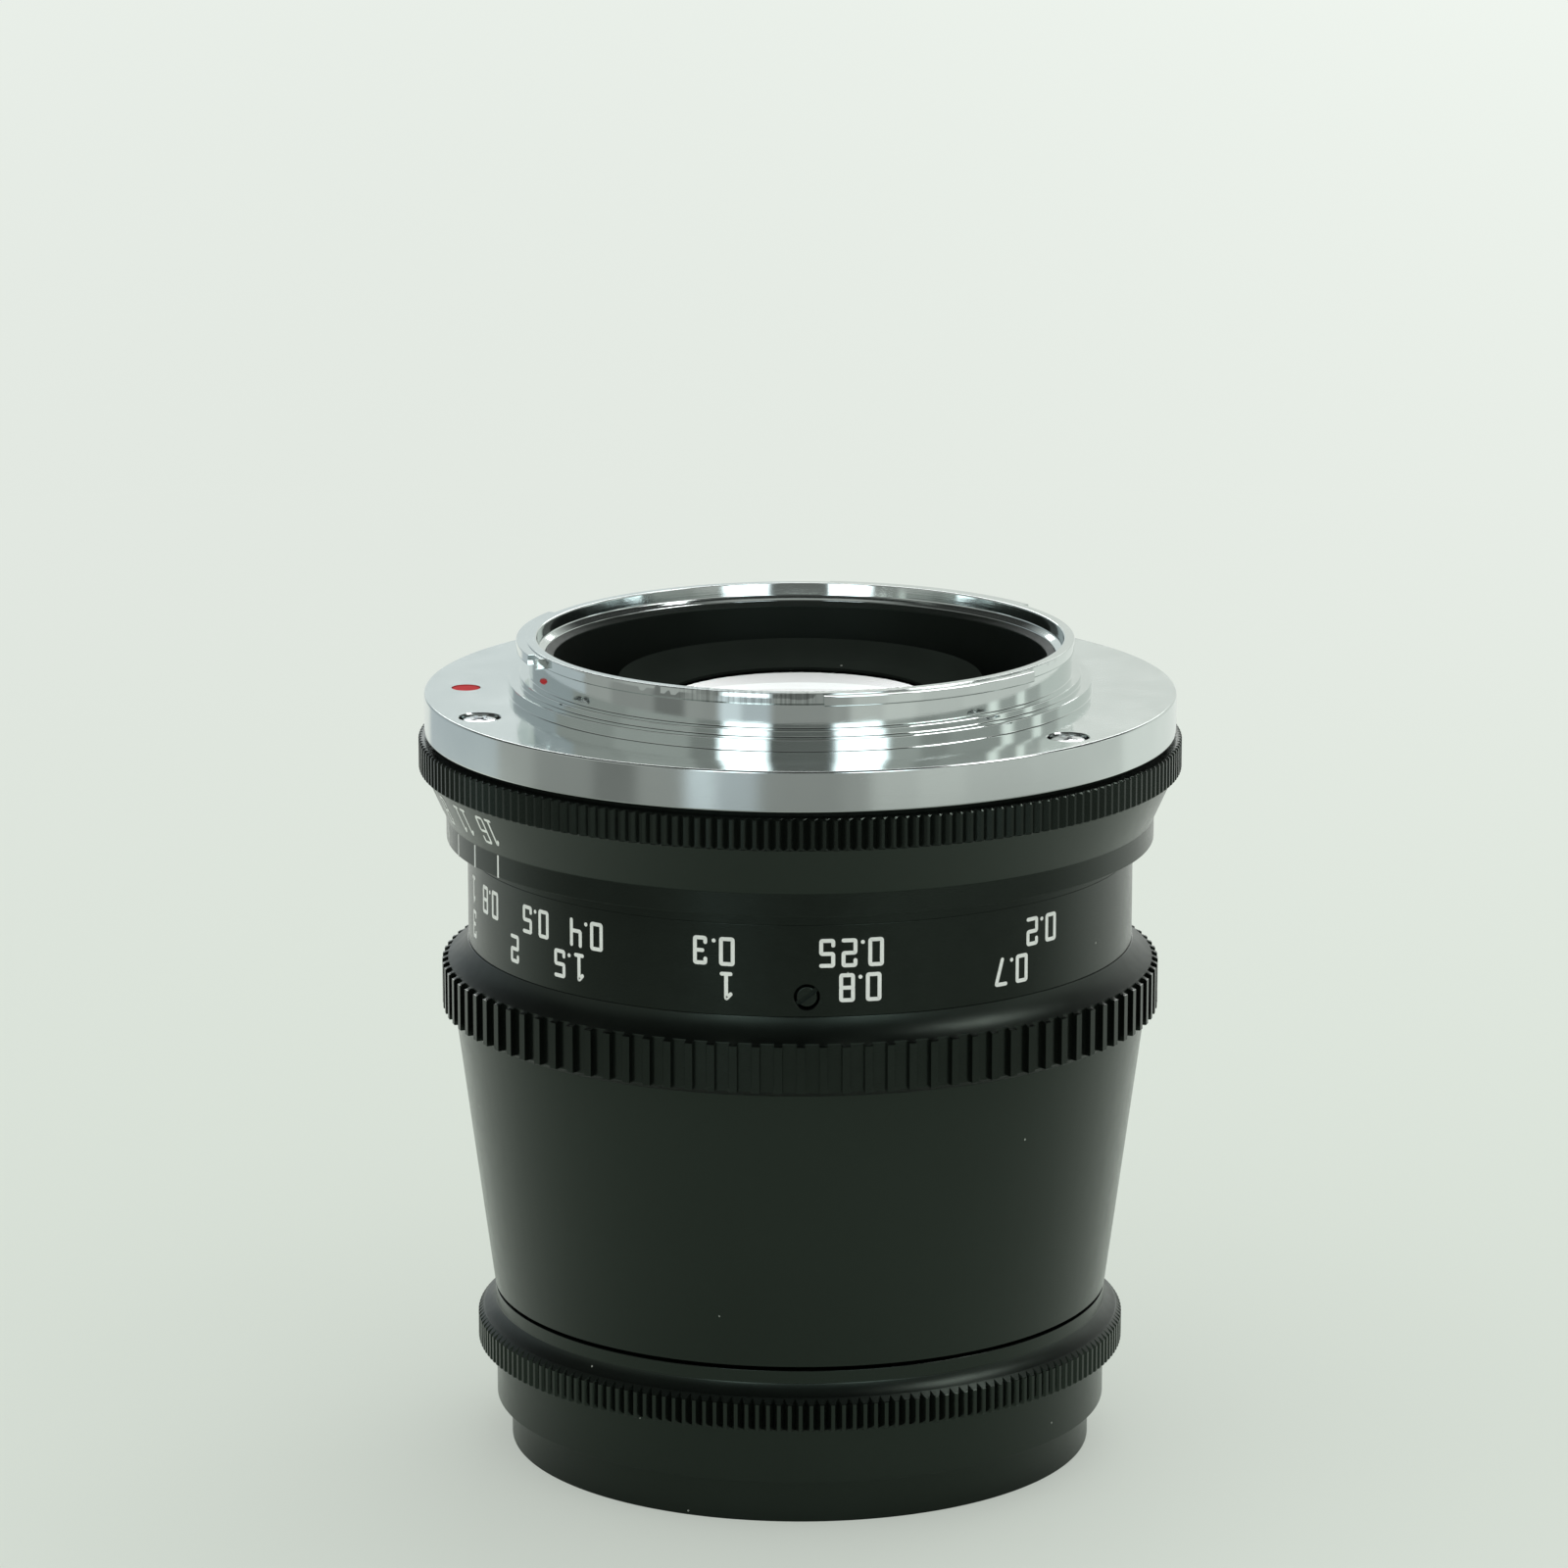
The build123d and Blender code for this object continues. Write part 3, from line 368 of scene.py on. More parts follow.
def black_finish(name, shade=0.003, rough=0.20, grain=0.18, dust=0.4, gloss=0.45):
    """Black anodised aluminium: a fine even grain, slightly uneven sheen and a few dust specks."""
    finish, tree, surface, place = new_finish(name)
    dark = (*(shade * channel for channel in BLACK_TINT), 1)
    light = (*(shade * BLACK_SPREAD * channel for channel in BLACK_TINT), 1)
    colour = blended(tree, noise(tree, place, 6.0), dark, light)
    speck = specks(tree, place, DUST_CELL, DUST_RADIUS, dust)
    tree.links.new(blended(tree, speck, colour, DUST_COLOUR), surface.inputs["Base Color"])
    smooth, dull = rough - UNEVEN_SHEEN, rough + UNEVEN_SHEEN
    sheen = ranged(tree, noise(tree, place, 1.4, 3.0), 0.3, 0.7, smooth, dull)
    height = node(tree, "ShaderNodeSeparateXYZ", {0: place}).outputs[2]
    for low, high in DULL_SLOPES:
        slope = ranged(tree, inside(tree, height, low, high), 0, 1, 0, SLOPE_ROUGH)
        sheen = maths(tree, "ADD", sheen, slope)
    tree.links.new(ranged(tree, speck, 0, 1, sheen, DUST_ROUGH), surface.inputs["Roughness"])
    surface.inputs["Specular IOR Level"].default_value = gloss
    surface.inputs["Specular Tint"].default_value = (*BLACK_TINT, 1)
    bumped(tree, surface, noise(tree, place, 0.09), grain, 0.05)
    return finish


def paint_finish(name, colour, rough=0.5, gloss=0.5):
    """Paint filled into an engraved mark, a little uneven."""
    finish, tree, surface, place = new_finish(name)
    thin = (*(0.86 * channel for channel in colour), 1)
    tree.links.new(blended(tree, noise(tree, place, 0.5), thin, (*colour, 1)), surface.inputs["Base Color"])
    surface.inputs["Roughness"].default_value = rough
    surface.inputs["Specular IOR Level"].default_value = gloss
    bumped(tree, surface, noise(tree, place, 0.12), 0.2, 0.02)
    return finish


RUB_LEFT = -9.2         # the rub marks lie between these places across the front lug
RUB_RIGHT = 1.6
RUB_FADE = 1.2          # over which they fade at both ends
RUB_FOOT = 61.6         # height of their lower ends


def rubbed(tree, across, depth, height):
    """Mask of the fine upright rub marks on the front lug's face."""
    line = node(tree, "ShaderNodeCombineXYZ", {"X": across}).outputs[0]
    marks = ranged(tree, noise(tree, line, 0.3, 3.0), 0.42, 0.62, 0, 0.5)
    left = ranged(tree, across, RUB_LEFT * MM, (RUB_LEFT + RUB_FADE) * MM, 0, 1)
    right = ranged(tree, across, (RUB_RIGHT - RUB_FADE) * MM, RUB_RIGHT * MM, 1, 0)
    place = maths(tree, "MULTIPLY", left, right)
    place = maths(tree, "MULTIPLY", place, maths(tree, "LESS_THAN", depth, 0))
    place = maths(tree, "MULTIPLY", place, maths(tree, "GREATER_THAN", height, RUB_FOOT * MM))
    return maths(tree, "MULTIPLY", marks, place)


PLATING = ((0.665, 0.71, 0.695, 1), (0.725, 0.77, 0.755, 1))
PLATING_RUBBED = (0.24, 0.26, 0.25, 1)
SIDE_ROUGH = 0.13
FLANGE_ROUGH = 0.10
SPIGOT_ROUGH = 0.06
SIDE_DEPTH = 0.15       # how deep under the flange's radius its side's finish reaches
TOP_MARGIN = 0.03       # height over the flange's top at which the spigot's finish starts


def chrome_finish(name, side_radius, top_height):
    """Plated mount: satin on the flange's side, brighter on its top, near mirror on the spigot."""
    finish, tree, surface, place = new_finish(name)
    section, radius = turning_place(tree, place)
    wear = noise(tree, place, 3.0, 3.0)
    colour = blended(tree, wear, *PLATING)
    across, depth, height = node(tree, "ShaderNodeSeparateXYZ", {0: place}).outputs
    colour = blended(tree, rubbed(tree, across, depth, height), colour, PLATING_RUBBED)
    tree.links.new(colour, surface.inputs["Base Color"])
    surface.inputs["Metallic"].default_value = 1.0
    on_side = maths(tree, "GREATER_THAN", radius, (side_radius - SIDE_DEPTH) * MM)
    above = maths(tree, "GREATER_THAN", height, (top_height + TOP_MARGIN) * MM)
    rough = ranged(tree, above, 0, 1, FLANGE_ROUGH, SPIGOT_ROUGH)
    rough = ranged(tree, on_side, 0, 1, rough, SIDE_ROUGH)
    uneven = ranged(tree, wear, 0.3, 0.7, -0.015, 0.02)
    tree.links.new(maths(tree, "ADD", rough, uneven), surface.inputs["Roughness"])
    bumped(tree, surface, noise(tree, section, 0.05, 1.0), 0.12, 0.006)
    return finish


def metal_finish(name, colour, rough):
    """Plain metal with fine turning marks and slightly uneven roughness."""
    finish, tree, surface, place = new_finish(name)
    section, _ = turning_place(tree, place)
    wear = noise(tree, place, 0.8, 3.0)
    dim = (*(0.8 * channel for channel in colour), 1)
    tree.links.new(blended(tree, wear, dim, (*colour, 1)), surface.inputs["Base Color"])
    surface.inputs["Metallic"].default_value = 1.0
    tree.links.new(ranged(tree, wear, 0.3, 0.7, rough * 0.85, rough * 1.2), surface.inputs["Roughness"])
    bumped(tree, surface, noise(tree, section, 0.08, 1.0), 0.1, 0.01)
    return finish


def glass_finish(name):
    """Coated optical glass: clear, with a faint purple-green coating seen at its reflections."""
    finish, tree, surface, place = new_finish(name)
    sheen = blended(tree, noise(tree, place, 14.0), (0.72, 0.86, 0.80, 1), (0.80, 0.76, 0.90, 1))
    tree.links.new(sheen, surface.inputs["Base Color"])
    smear = ranged(tree, noise(tree, place, 5.0, 3.0), 0.45, 0.8, 0.012, 0.04)
    tree.links.new(smear, surface.inputs["Roughness"])
    surface.inputs["Specular Tint"].default_value = (0.9, 1.0, 0.95, 1)
    surface.inputs["IOR"].default_value = 1.6
    surface.inputs["Transmission Weight"].default_value = 1.0
    return finish


# Measures of the frame's pieces, and the heights that more than one piece needs

mount_radius, mount_low, mount_high = reach("bayonet_mount")
grip_radius, grip_front, grip_rear = reach("focus_ring")
scale_radius, scale_front, scale_rear = reach("distance_scale_ring")
stop_radius, stop_front, stop_rear = reach("aperture_ring")
hood_radius, hood_front, hood_rear = reach("front_collar")
index_radius, index_front, index_rear = reach("index_ring")
baffle_radius, baffle_low, baffle_high = reach("rear_baffle")
_, screw_foot, screw_top = reach("mount_screws")
_, dot_foot, dot_top = reach("mount_index_dot")

flange_top = dot_top + 0.02
flange_foot = stop_rear + 0.4
hood_knurl_front = hood_front + 7.85
hood_knurl_rear = hood_front + 9.85
dish_rear = hood_front + 11.1
rib_front = grip_front + 21.92
rib_rear = grip_front + 25.42
flare_rear = grip_front + 27.17

# The hood's dish and the grip's flare face upwards and are duller than the rest
DULL_SLOPES = ((hood_knurl_rear + EDGE, dish_rear), (rib_rear + EDGE, flare_rear - EDGE))


# The finishes, one for each slot of the record, and two more

ring_black = black_finish("anodised_rings")
baffle_black = black_finish("matt_baffle", shade=0.005, rough=0.45, grain=0.12, dust=0.15, gloss=0.3)
inner_black = black_finish("inner_barrel_black", shade=0.008, rough=0.5, grain=0.1, dust=0.0, gloss=0.1)
throat_black = black_finish("throat_black", shade=0.013, rough=0.3, grain=0.1, dust=0.1, gloss=0.0)
blade_black = black_finish("blade_black", shade=0.01, rough=0.4, grain=0.03, dust=0.0)
screw_black = black_finish("blackened_screw", shade=0.004, rough=0.25, grain=0.3, dust=0.0)
mark_white = paint_finish("engraved_white", (0.92, 0.94, 0.91))
dot_red = paint_finish("red_enamel", (0.56, 0.03, 0.035), rough=0.5, gloss=0.01)
mount_chrome = chrome_finish("mount_chrome_turned", mount_radius, flange_top)
screw_steel = metal_finish("screw_steel_polished", (0.78, 0.79, 0.80), 0.14)
spring_steel = metal_finish("spring_steel_wire", (0.55, 0.55, 0.56), 0.3)
sleeve_brass = metal_finish("helicoid_brass_turned", (0.78, 0.56, 0.25), 0.28)
coated_glass = glass_finish("coated_lens_glass")

FINISH_OF_SLOT = {
    "mount_chrome": mount_chrome, "screw_steel": screw_steel, "red_mark": dot_red,
    "baffle_black": baffle_black, "ring_black": ring_black, "inner_black": inner_black,
    "black_screw": screw_black, "helicoid_brass": sleeve_brass, "spring_steel": spring_steel,
    "blade_black": blade_black, "coated_glass": coated_glass}


# Front hood ring: plain rim and cylinder, thin knurled collar with a dished rear face, neck

HOOD_TEETH = 194
HOOD_TOOTH_SHARE = 0.34
HOOD_GROOVE = 0.42
RIM_RADIUS = 22.2
RIM_HEIGHT = 3.4
COLLAR_RADIUS = 23.33
NECK_RADIUS = 23.37
NECK_WALL = 1.5
FILTER_RADIUS = 21.1
FILTER_DEPTH = 5.0
THREAD_PITCH = 0.75
THREAD_DEPTH = 0.3
THREAD_START = 0.3
THREAD_FREE = 1.2       # both plain ends of the filter bore together
DISH_SAG = 0.1
HOOD_BEVEL = 0.06
BODY_SINK = 0.04        # how far the plain body under the knurl lies below its grooves
KNURL_FOOT = 0.4        # how deep the knurl's slices reach into the plain body
hood_core = hood_radius - HOOD_GROOVE
hood_teeth_rear = hood_knurl_rear + HOOD_GROOVE


def hood_outline():
    """Half section of the hood ring without its teeth, filter thread included."""
    thread = []
    turns = int((FILTER_DEPTH - THREAD_FREE) / THREAD_PITCH)
    for i in range(turns, 0, -1):
        root = hood_front + THREAD_START + i * THREAD_PITCH
        thread.append((FILTER_RADIUS + THREAD_DEPTH, root))
        thread.append((FILTER_RADIUS, root - THREAD_PITCH / 2))
    dish = bowed((hood_core, hood_teeth_rear), (NECK_RADIUS, dish_rear), DISH_SAG)
    rim_rear = hood_front + RIM_HEIGHT
    bore_rear = hood_front + FILTER_DEPTH
    bore = NECK_RADIUS - NECK_WALL
    core = hood_core - BODY_SINK
    return [
        (RIM_RADIUS, hood_front), (RIM_RADIUS, rim_rear), (COLLAR_RADIUS, rim_rear),
        (COLLAR_RADIUS, hood_knurl_front), (core, hood_knurl_front + 0.1), (core, hood_knurl_rear), *dish,
        (NECK_RADIUS, hood_rear), (bore, hood_rear), (bore, bore_rear), (FILTER_RADIUS, bore_rear), *thread,
        (FILTER_RADIUS, hood_front)]


def knurl(count, share, root, outline):
    """A knurled band: V grooves down to the root between flat-topped teeth, which fill a share."""
    pitch = TURN / count
    half = pitch * share / 2
    groove = [(min(r, root), z) for r, z in outline]
    columns = [(-pitch / 2, groove), (-half, outline), (half, outline), (pitch / 2, groove)]
    return repeated(settled(stretched(columns, closed_round=False)), count, ring_black)


def make_hood_ring():
    foot = hood_core - KNURL_FOOT
    teeth = [
        (foot, hood_knurl_front), (hood_core, hood_knurl_front),
        (hood_radius - HOOD_BEVEL, hood_knurl_front), (hood_radius, hood_knurl_front + HOOD_BEVEL),
        (hood_radius, hood_knurl_rear), (hood_core, hood_teeth_rear), (foot, hood_teeth_rear - 0.03)]
    band = knurl(HOOD_TEETH, HOOD_TOOTH_SHARE, hood_core, teeth)
    return merged(turned(eased(hood_outline())), band)


finished_piece("hood_ring", make_hood_ring(), "lens_block", "ring_black", ring_black, "front_collar")


# Focus ring: long smooth taper, square-cut ribs that run out into a hollow flare

RIBS = 103
RIB_SHARE = 0.36
RIB_DEPTH = 0.45
RIB_EDGE = 0.025
RIB_BEVEL = 0.42        # length of the bevel between the taper and the ribs
TAPER_FRONT_RADIUS = 23.42
TAPER_REAR_RADIUS = 26.26
TAPER_STEPS = 6
FLARE_STEP = 0.1        # from the ribs' tips in to the flare's start
FLARE_TOP_RADIUS = 25.25
FLARE_SAG = 0.25
FLARE_STEPS = 14
SCALE_SEAT = 24.1       # radius of the seat that the scale ring is pushed over
END_GAP = 0.02
GRIP_BORE = 22.4
rib_root = grip_radius - RIB_DEPTH


def make_grip_ring():
    flare_start = (grip_radius - FLARE_STEP, rib_rear)
    flare = bowed(flare_start, (FLARE_TOP_RADIUS, flare_rear), FLARE_SAG, FLARE_STEPS)
    taper_rear = rib_front - RIB_BEVEL
    seat_rear = grip_rear - END_GAP
    lands = [
        (GRIP_BORE, grip_front), (TAPER_FRONT_RADIUS - EDGE, grip_front),
        (TAPER_FRONT_RADIUS, grip_front + EDGE), (TAPER_FRONT_RADIUS + 0.013, grip_front + 0.15)]
    for step in range(1, TAPER_STEPS):
        share = step / TAPER_STEPS
        lands.append((TAPER_FRONT_RADIUS + share * (TAPER_REAR_RADIUS - TAPER_FRONT_RADIUS),
                      grip_front + share * (taper_rear - grip_front)))
    lands += [
        (TAPER_REAR_RADIUS - 0.01, taper_rear - 0.1), (TAPER_REAR_RADIUS, taper_rear),
        (rib_root - 0.03, rib_front - 0.03), (rib_root, rib_front), (grip_radius - RIB_EDGE, rib_front),
        (grip_radius, rib_front + RIB_EDGE), (grip_radius, rib_rear - END_GAP), *flare,
        (SCALE_SEAT, flare_rear), (SCALE_SEAT, seat_rear), (GRIP_BORE, seat_rear)]
    floors = [(min(r, rib_root), z) for r, z in lands]
    shoulders = [(max(rib_root, r - RIB_EDGE) if r > rib_root else r, z) for r, z in lands]
    pitch = TURN / RIBS
    half = pitch * RIB_SHARE / 2
    edge = RIB_EDGE / grip_radius
    columns = [
        (-pitch / 2, floors), (-half, floors), (-half, shoulders), (-half + edge, lands),
        (half - edge, lands), (half, shoulders), (half, floors), (pitch / 2, floors)]
    rib = settled(stretched(columns, closed_round=False), recalculate=False)
    return merged(repeated(rib, RIBS, ring_black))


finished_piece("grip_ring", make_grip_ring(), "focus_ring", "ring_black", ring_black, "focus_ring")


# Mount screws with a cross, and the slotted set screws of the scale ring


def bar(length, width, depth, taper):
    """A cutter for one slot, narrower at its foot; its top stands proud of the origin."""
    work = bmesh.new()
    bmesh.ops.create_cube(work, size=1.0)
    for vert in work.verts:
        deep = vert.co.z < 0
        narrow = taper if deep else 1.0
        vert.co.x *= length * narrow * MM
        vert.co.y *= width * narrow * MM
        vert.co.z = (-depth if deep else depth) * MM
    return mesh_of(work)


def moved(mesh, place):
    """The mesh itself, moved by a matrix."""
    mesh.transform(place)
    mesh.update()
    return mesh


SCREW_AZIMUTHS = (-66.5, 49.0, 171.0)
SCREW_HEAD = 1.35
SCREW_HEAD_LENGTH = 1.0
SCREW_SHANK = 0.8
SCREW_POCKET = 1.55
POCKET_DEPTH = 1.1
POCKET_RIM = 0.1        # width of the bevel round a pocket's mouth
CROSS_TURN = math.radians(20)
CROSS_BAR = (1.9, 0.42, 0.42, 0.55)     # length, width, depth and taper of each slot of the cross
screw_circle = mount_radius - 2.5
dot_circle = mount_radius - 3.15


def standing(shape, height, turn=0.0):
    """Copies of a shape at the mount screws' places, in one mesh."""
    copies = []
    for azimuth in map(math.radians, SCREW_AZIMUTHS):
        place = Matrix.Translation(on_barrel(screw_circle, azimuth, height))
        copies.append(moved(shape.copy(), place @ Matrix.Rotation(azimuth + turn, 4, "Z")))
    return merged(*copies)


def make_mount_screws():
    foot = screw_foot - screw_top
    outline = [
        (0, 0), (SCREW_HEAD * 0.7, -0.015), (SCREW_HEAD - 0.16, -0.05), (SCREW_HEAD, -0.2),
        (SCREW_HEAD, -SCREW_HEAD_LENGTH), (SCREW_SHANK, -SCREW_HEAD_LENGTH), (SCREW_SHANK, foot), (0, foot)]
    screw = turned(eased(outline, 0.04), SMALL_AROUND)
    for turn in (0, math.pi / 2):
        screw = carved(screw, moved(bar(*CROSS_BAR), Matrix.Rotation(turn, 4, "Z")))
    return standing(screw, screw_top, CROSS_TURN)


SET_SCREWS = 3
SET_SCREW_AZIMUTH = math.radians(1.0)
SET_SCREW_RADIUS = 0.92
SET_SCREW_CROWN = 0.72  # radius of the flat on its end
SET_SCREW_SINK = 0.15
SET_SCREW_LENGTH = 1.6
SET_SCREW_HOLE = 0.94
HOLE_DEPTH = 1.4
HOLE_RIM = 0.1          # width of the bevel round a hole's mouth
HOLE_TOP = 0.6          # how far the cutters of the holes stand above the band
SET_SCREW_SLOT = (2.4, 0.36, 0.45, 1.0)         # length, width, depth and taper
SET_SCREW_TURN = math.radians(38)
set_screw_height = scale_front + 1.45


def sideways(azimuth, radius, height):
    """Turns a plug that stands along Z so that it points outwards at a place on the barrel."""
    outward = Vector((math.sin(azimuth), -math.cos(azimuth), 0))
    turn = Vector((0, 0, 1)).rotation_difference(outward).to_matrix().to_4x4()
    return Matrix.Translation(on_barrel(radius, azimuth, height)) @ turn


def make_scale_screws():
    outline = [
        (0, 0), (SET_SCREW_CROWN, 0), (SET_SCREW_RADIUS, -0.35), (SET_SCREW_RADIUS, -SET_SCREW_LENGTH),
        (0, -SET_SCREW_LENGTH)]
    screw = turned(eased(outline), SMALL_AROUND)
    screw = carved(screw, moved(bar(*SET_SCREW_SLOT), Matrix.Rotation(SET_SCREW_TURN, 4, "Z")))
    moved(screw, sideways(SET_SCREW_AZIMUTH, scale_radius - SET_SCREW_SINK, set_screw_height))
    return repeated(screw, SET_SCREWS, screw_black)


# Distance scale band with its two rows of numbers

SCALE_WALL = 0.99
SEAM = 0.02             # how far the bands on both sides reach into the thin gap between them
SEAM_EDGE = 0.02
HOLE_ROOM = 1.15        # half the height of the zone that the set screws' holes lie in


def make_scale_band():
    inner = scale_radius - SCALE_WALL
    band = turned(eased([
        (inner, scale_front), (scale_radius, scale_front), (scale_radius, set_screw_height - HOLE_ROOM),
        (scale_radius, set_screw_height + HOLE_ROOM), (scale_radius, scale_rear + SEAM),
        (inner, scale_rear + SEAM)], SEAM_EDGE))
    mouth = SET_SCREW_HOLE + HOLE_RIM
    hole = turned([
        (0, -HOLE_DEPTH), (SET_SCREW_HOLE, -HOLE_DEPTH), (SET_SCREW_HOLE, -0.06), (mouth, 0.04),
        (mouth, HOLE_TOP), (0, HOLE_TOP)], SMALL_AROUND)
    moved(hole, sideways(SET_SCREW_AZIMUTH, scale_radius, set_screw_height))
    return carved(band, repeated(hole, SET_SCREWS, screw_black))


finished_piece("scale_band", make_scale_band(), "focus_ring", "ring_black", ring_black,
               "distance_scale_ring")
finished_piece("scale_screws", make_scale_screws(), "focus_ring", "black_screw", screw_black,
               "scale_set_screws")


# Index band between the two turning rings

INDEX_WALL = 1.0


def make_index_band():
    inner = index_radius - INDEX_WALL
    return turned(eased([
        (inner, index_front - SEAM), (index_radius, index_front - SEAM), (index_radius, index_rear),
        (inner, index_rear)], SEAM_EDGE))


finished_piece("index_band", make_index_band(), "fixed_barrel", "ring_black", ring_black, "index_ring")


# Aperture ring: band with ticks, cone with stop numbers, fine knurl

STOP_TEETH = 214
STOP_TOOTH_SHARE = 0.24
STOP_GROOVE = 0.32
STOP_BEVEL = 0.12
STOP_BORE = 23.98
SKIRT_DEPTH = 3.45
band_radius = stop_radius - 2.04
cone_radius = stop_radius - 0.44
band_rear = stop_front + 1.75
stop_knurl_front = band_rear + 3.55
stop_root = stop_radius - STOP_GROOVE
skirt_radius = stop_radius - 1.0


def make_stop_ring():
    core = stop_root - 0.03
    core_rear = stop_rear - STOP_BEVEL
    skirt_front = stop_rear - SKIRT_DEPTH
    body = turned(eased([
        (STOP_BORE, stop_front), (band_radius, stop_front), (band_radius, band_rear),
        (cone_radius, stop_knurl_front), (core, stop_knurl_front + 0.15), (core, core_rear),
        (skirt_radius, core_rear), (skirt_radius, skirt_front), (STOP_BORE, skirt_front)]))
    teeth = [
        (core - 0.3, stop_knurl_front + 0.02), (stop_root, stop_knurl_front + 0.01),
        (stop_radius - STOP_BEVEL, stop_knurl_front + 0.04), (stop_radius, stop_knurl_front + 0.14),
        (stop_radius, core_rear), (stop_radius - STOP_BEVEL, stop_rear), (skirt_radius, stop_rear),
        (skirt_radius, stop_rear - 0.3)]
    return merged(body, knurl(STOP_TEETH, STOP_TOOTH_SHARE, stop_root, teeth))


finished_piece("stop_ring", make_stop_ring(), "aperture_ring", "ring_black", ring_black, "aperture_ring")


# Painted numbers and marks: strokes of one width with round ends, laid on the ring that carries them

# Centre lines in a box from -1 to 1; one that ends with closed runs back to its start
GLYPHS = {
    "0": [[(-1, -1), (1, -1), (1, 1), (-1, 1), "closed"]],
    "1": [[(-0.75, -1), (0.75, -1)], [(0, -1), (0, 1), (-0.75, 0.62)]],
    "2": [[(-1, 0.6), (-1, 1), (1, 1), (1, 0), (-1, 0), (-1, -1), (1, -1)]],
    "3": [[(-0.8, 0.66), (-0.8, 1), (1, 1), (1, -1), (-0.8, -1), (-0.8, -0.66)], [(-0.3, 0), (1, 0)]],
    "4": [[(-1, 1), (-1, -0.15), (1, -0.15)], [(1, 1), (1, -1)]],
    "5": [[(1, 1), (-1, 1), (-1, 0.05), (1, 0.05), (1, -1), (-1, -1), (-1, -0.62)]],
    "6": [[(1, 0.62), (1, 1), (-1, 1), (-1, -1), (1, -1), (1, 0.08), (-1, 0.08)]],
    "7": [[(-1, 1), (1, 1), (-0.25, -1)]],
    "8": [[(-1, 0), (1, 0), (1, 1), (-1, 1), "closed"], [(-1, 0), (1, 0), (1, -1), (-1, -1), "closed"]]}
PAINT_LIFT = 0.012      # how far paint stands proud of its ring
PAINT_ROOT = 0.03       # how far its slab reaches into the ring
STROKE_LIFT = 0.002     # step between strokes, so that crossing ones don't share a face
LIFT_STEPS = 3
RUN = 0.4               # longest straight run of a centre line
CORNER_SHARE = 0.48     # most of a run that a rounded corner may take
MITRE_LIMIT = 0.5       # keeps a sharp bend's edges from running out too far
CORNER_STEPS = 5
CAP_STEPS = 8
DOT_POINTS = 16
ENDLESS_POINTS = 40
TICK_STEPS = 4


def rounded_line(points, radius, closed):
    """A centre line with its corners rounded, in short runs that can follow the barrel."""
    line = []
    count = len(points)
    for i, point in enumerate(points):
        here = Vector(point)
        if not closed and i in (0, count - 1):
            line.append(here)
            continue
        before = Vector(points[i - 1]) - here
        after = Vector(points[(i + 1) % count]) - here
        cut = min(radius, CORNER_SHARE * before.length, CORNER_SHARE * after.length)
        start = here + before.normalized() * cut
        end = here + after.normalized() * cut
        for step in range(CORNER_STEPS + 1):
            t = step / CORNER_STEPS
            line.append(start * (1 - t) ** 2 + here * 2 * t * (1 - t) + end * t ** 2)
    fine = []
    ends = line[1:] + line[:1] if closed else line[1:]
    for start, end in zip(line, ends):
        pieces = max(1, math.ceil((end - start).length / RUN))
        fine += [start.lerp(end, i / pieces) for i in range(pieces)]
    if not closed:
        fine.append(line[-1])
    return fine


def ribbon(line, width, closed):
    """Flat points and faces of a stroke along a centre line."""
    count = len(line)
    points, faces = [], []
    for i, here in enumerate(line):
        ways = []
        if closed or i:
            ways.append((here - line[i - 1]).normalized())
        if closed or i < count - 1:
            ways.append((line[(i + 1) % count] - here).normalized())
        way = sum(ways, Vector((0, 0))).normalized()
        spread = width / 2 / max(MITRE_LIMIT, way.dot(ways[0]))
        side = Vector((-way.y, way.x)) * spread
        points += [here + side, here - side]
    last = count if closed else count - 1
    for i in range(last):
        j = (i + 1) % count
        faces.append((2 * i, 2 * i + 1, 2 * j + 1, 2 * j))
    if not closed:
        for end, way in ((0, line[0] - line[1]), (count - 1, line[-1] - line[-2])):
            way = way.normalized()
            side = Vector((-way.y, way.x))
            first = len(points)
            arc = [line[end] + (side * math.cos(a) + way * math.sin(a)) * width / 2
                   for a in (math.pi * k / CAP_STEPS for k in range(1, CAP_STEPS))]
            points += arc
            left, right = (2 * end, 2 * end + 1) if end else (2 * end + 1, 2 * end)
            faces.append((left, *range(first, first + len(arc)), right)[::-1])
    return points, faces


def dotted(spot, radius):
    """Flat points and face of a round dot."""
    points = [Vector(spot) + Vector((math.cos(a), math.sin(a))) * radius
              for a in (TURN * k / DOT_POINTS for k in range(DOT_POINTS))]
    return points, [tuple(range(DOT_POINTS))]


def paint_work(shapes, azimuth, height, radius_at):
    """Flat shapes laid on a ring as thin closed slabs; they read right with the mount end down."""
    work = bmesh.new()
    for number, (points, faces) in enumerate(shapes):
        lift = PAINT_LIFT + STROKE_LIFT * (number % LIFT_STEPS)
        layers = []
        for proud in (lift, -PAINT_ROOT):
            layer = []
            for u, v in points:
                z = height - v
                r = radius_at(z)
                layer.append(work.verts.new(on_barrel(r + proud, azimuth - u / r, z)))
            layers.append(layer)
        for face in faces:
            work.faces.new([layers[0][i] for i in face])
            work.faces.new([layers[1][i] for i in reversed(face)])
        edges = dict.fromkeys(edge for face in faces for edge in zip(face, face[1:] + face[:1]))
        for start, end in edges:
            if (end, start) not in edges:
                work.faces.new([layers[0][end], layers[0][start], layers[1][start], layers[1][end]])
    return work


POINT_ROOM = 0.21       # room of a point, as a share of a figure's
POINT_HEIGHT = 0.155    # height of a point's middle over the foot of the figures
POINT_SIZE = 0.52       # radius of a point, as a share of the stroke


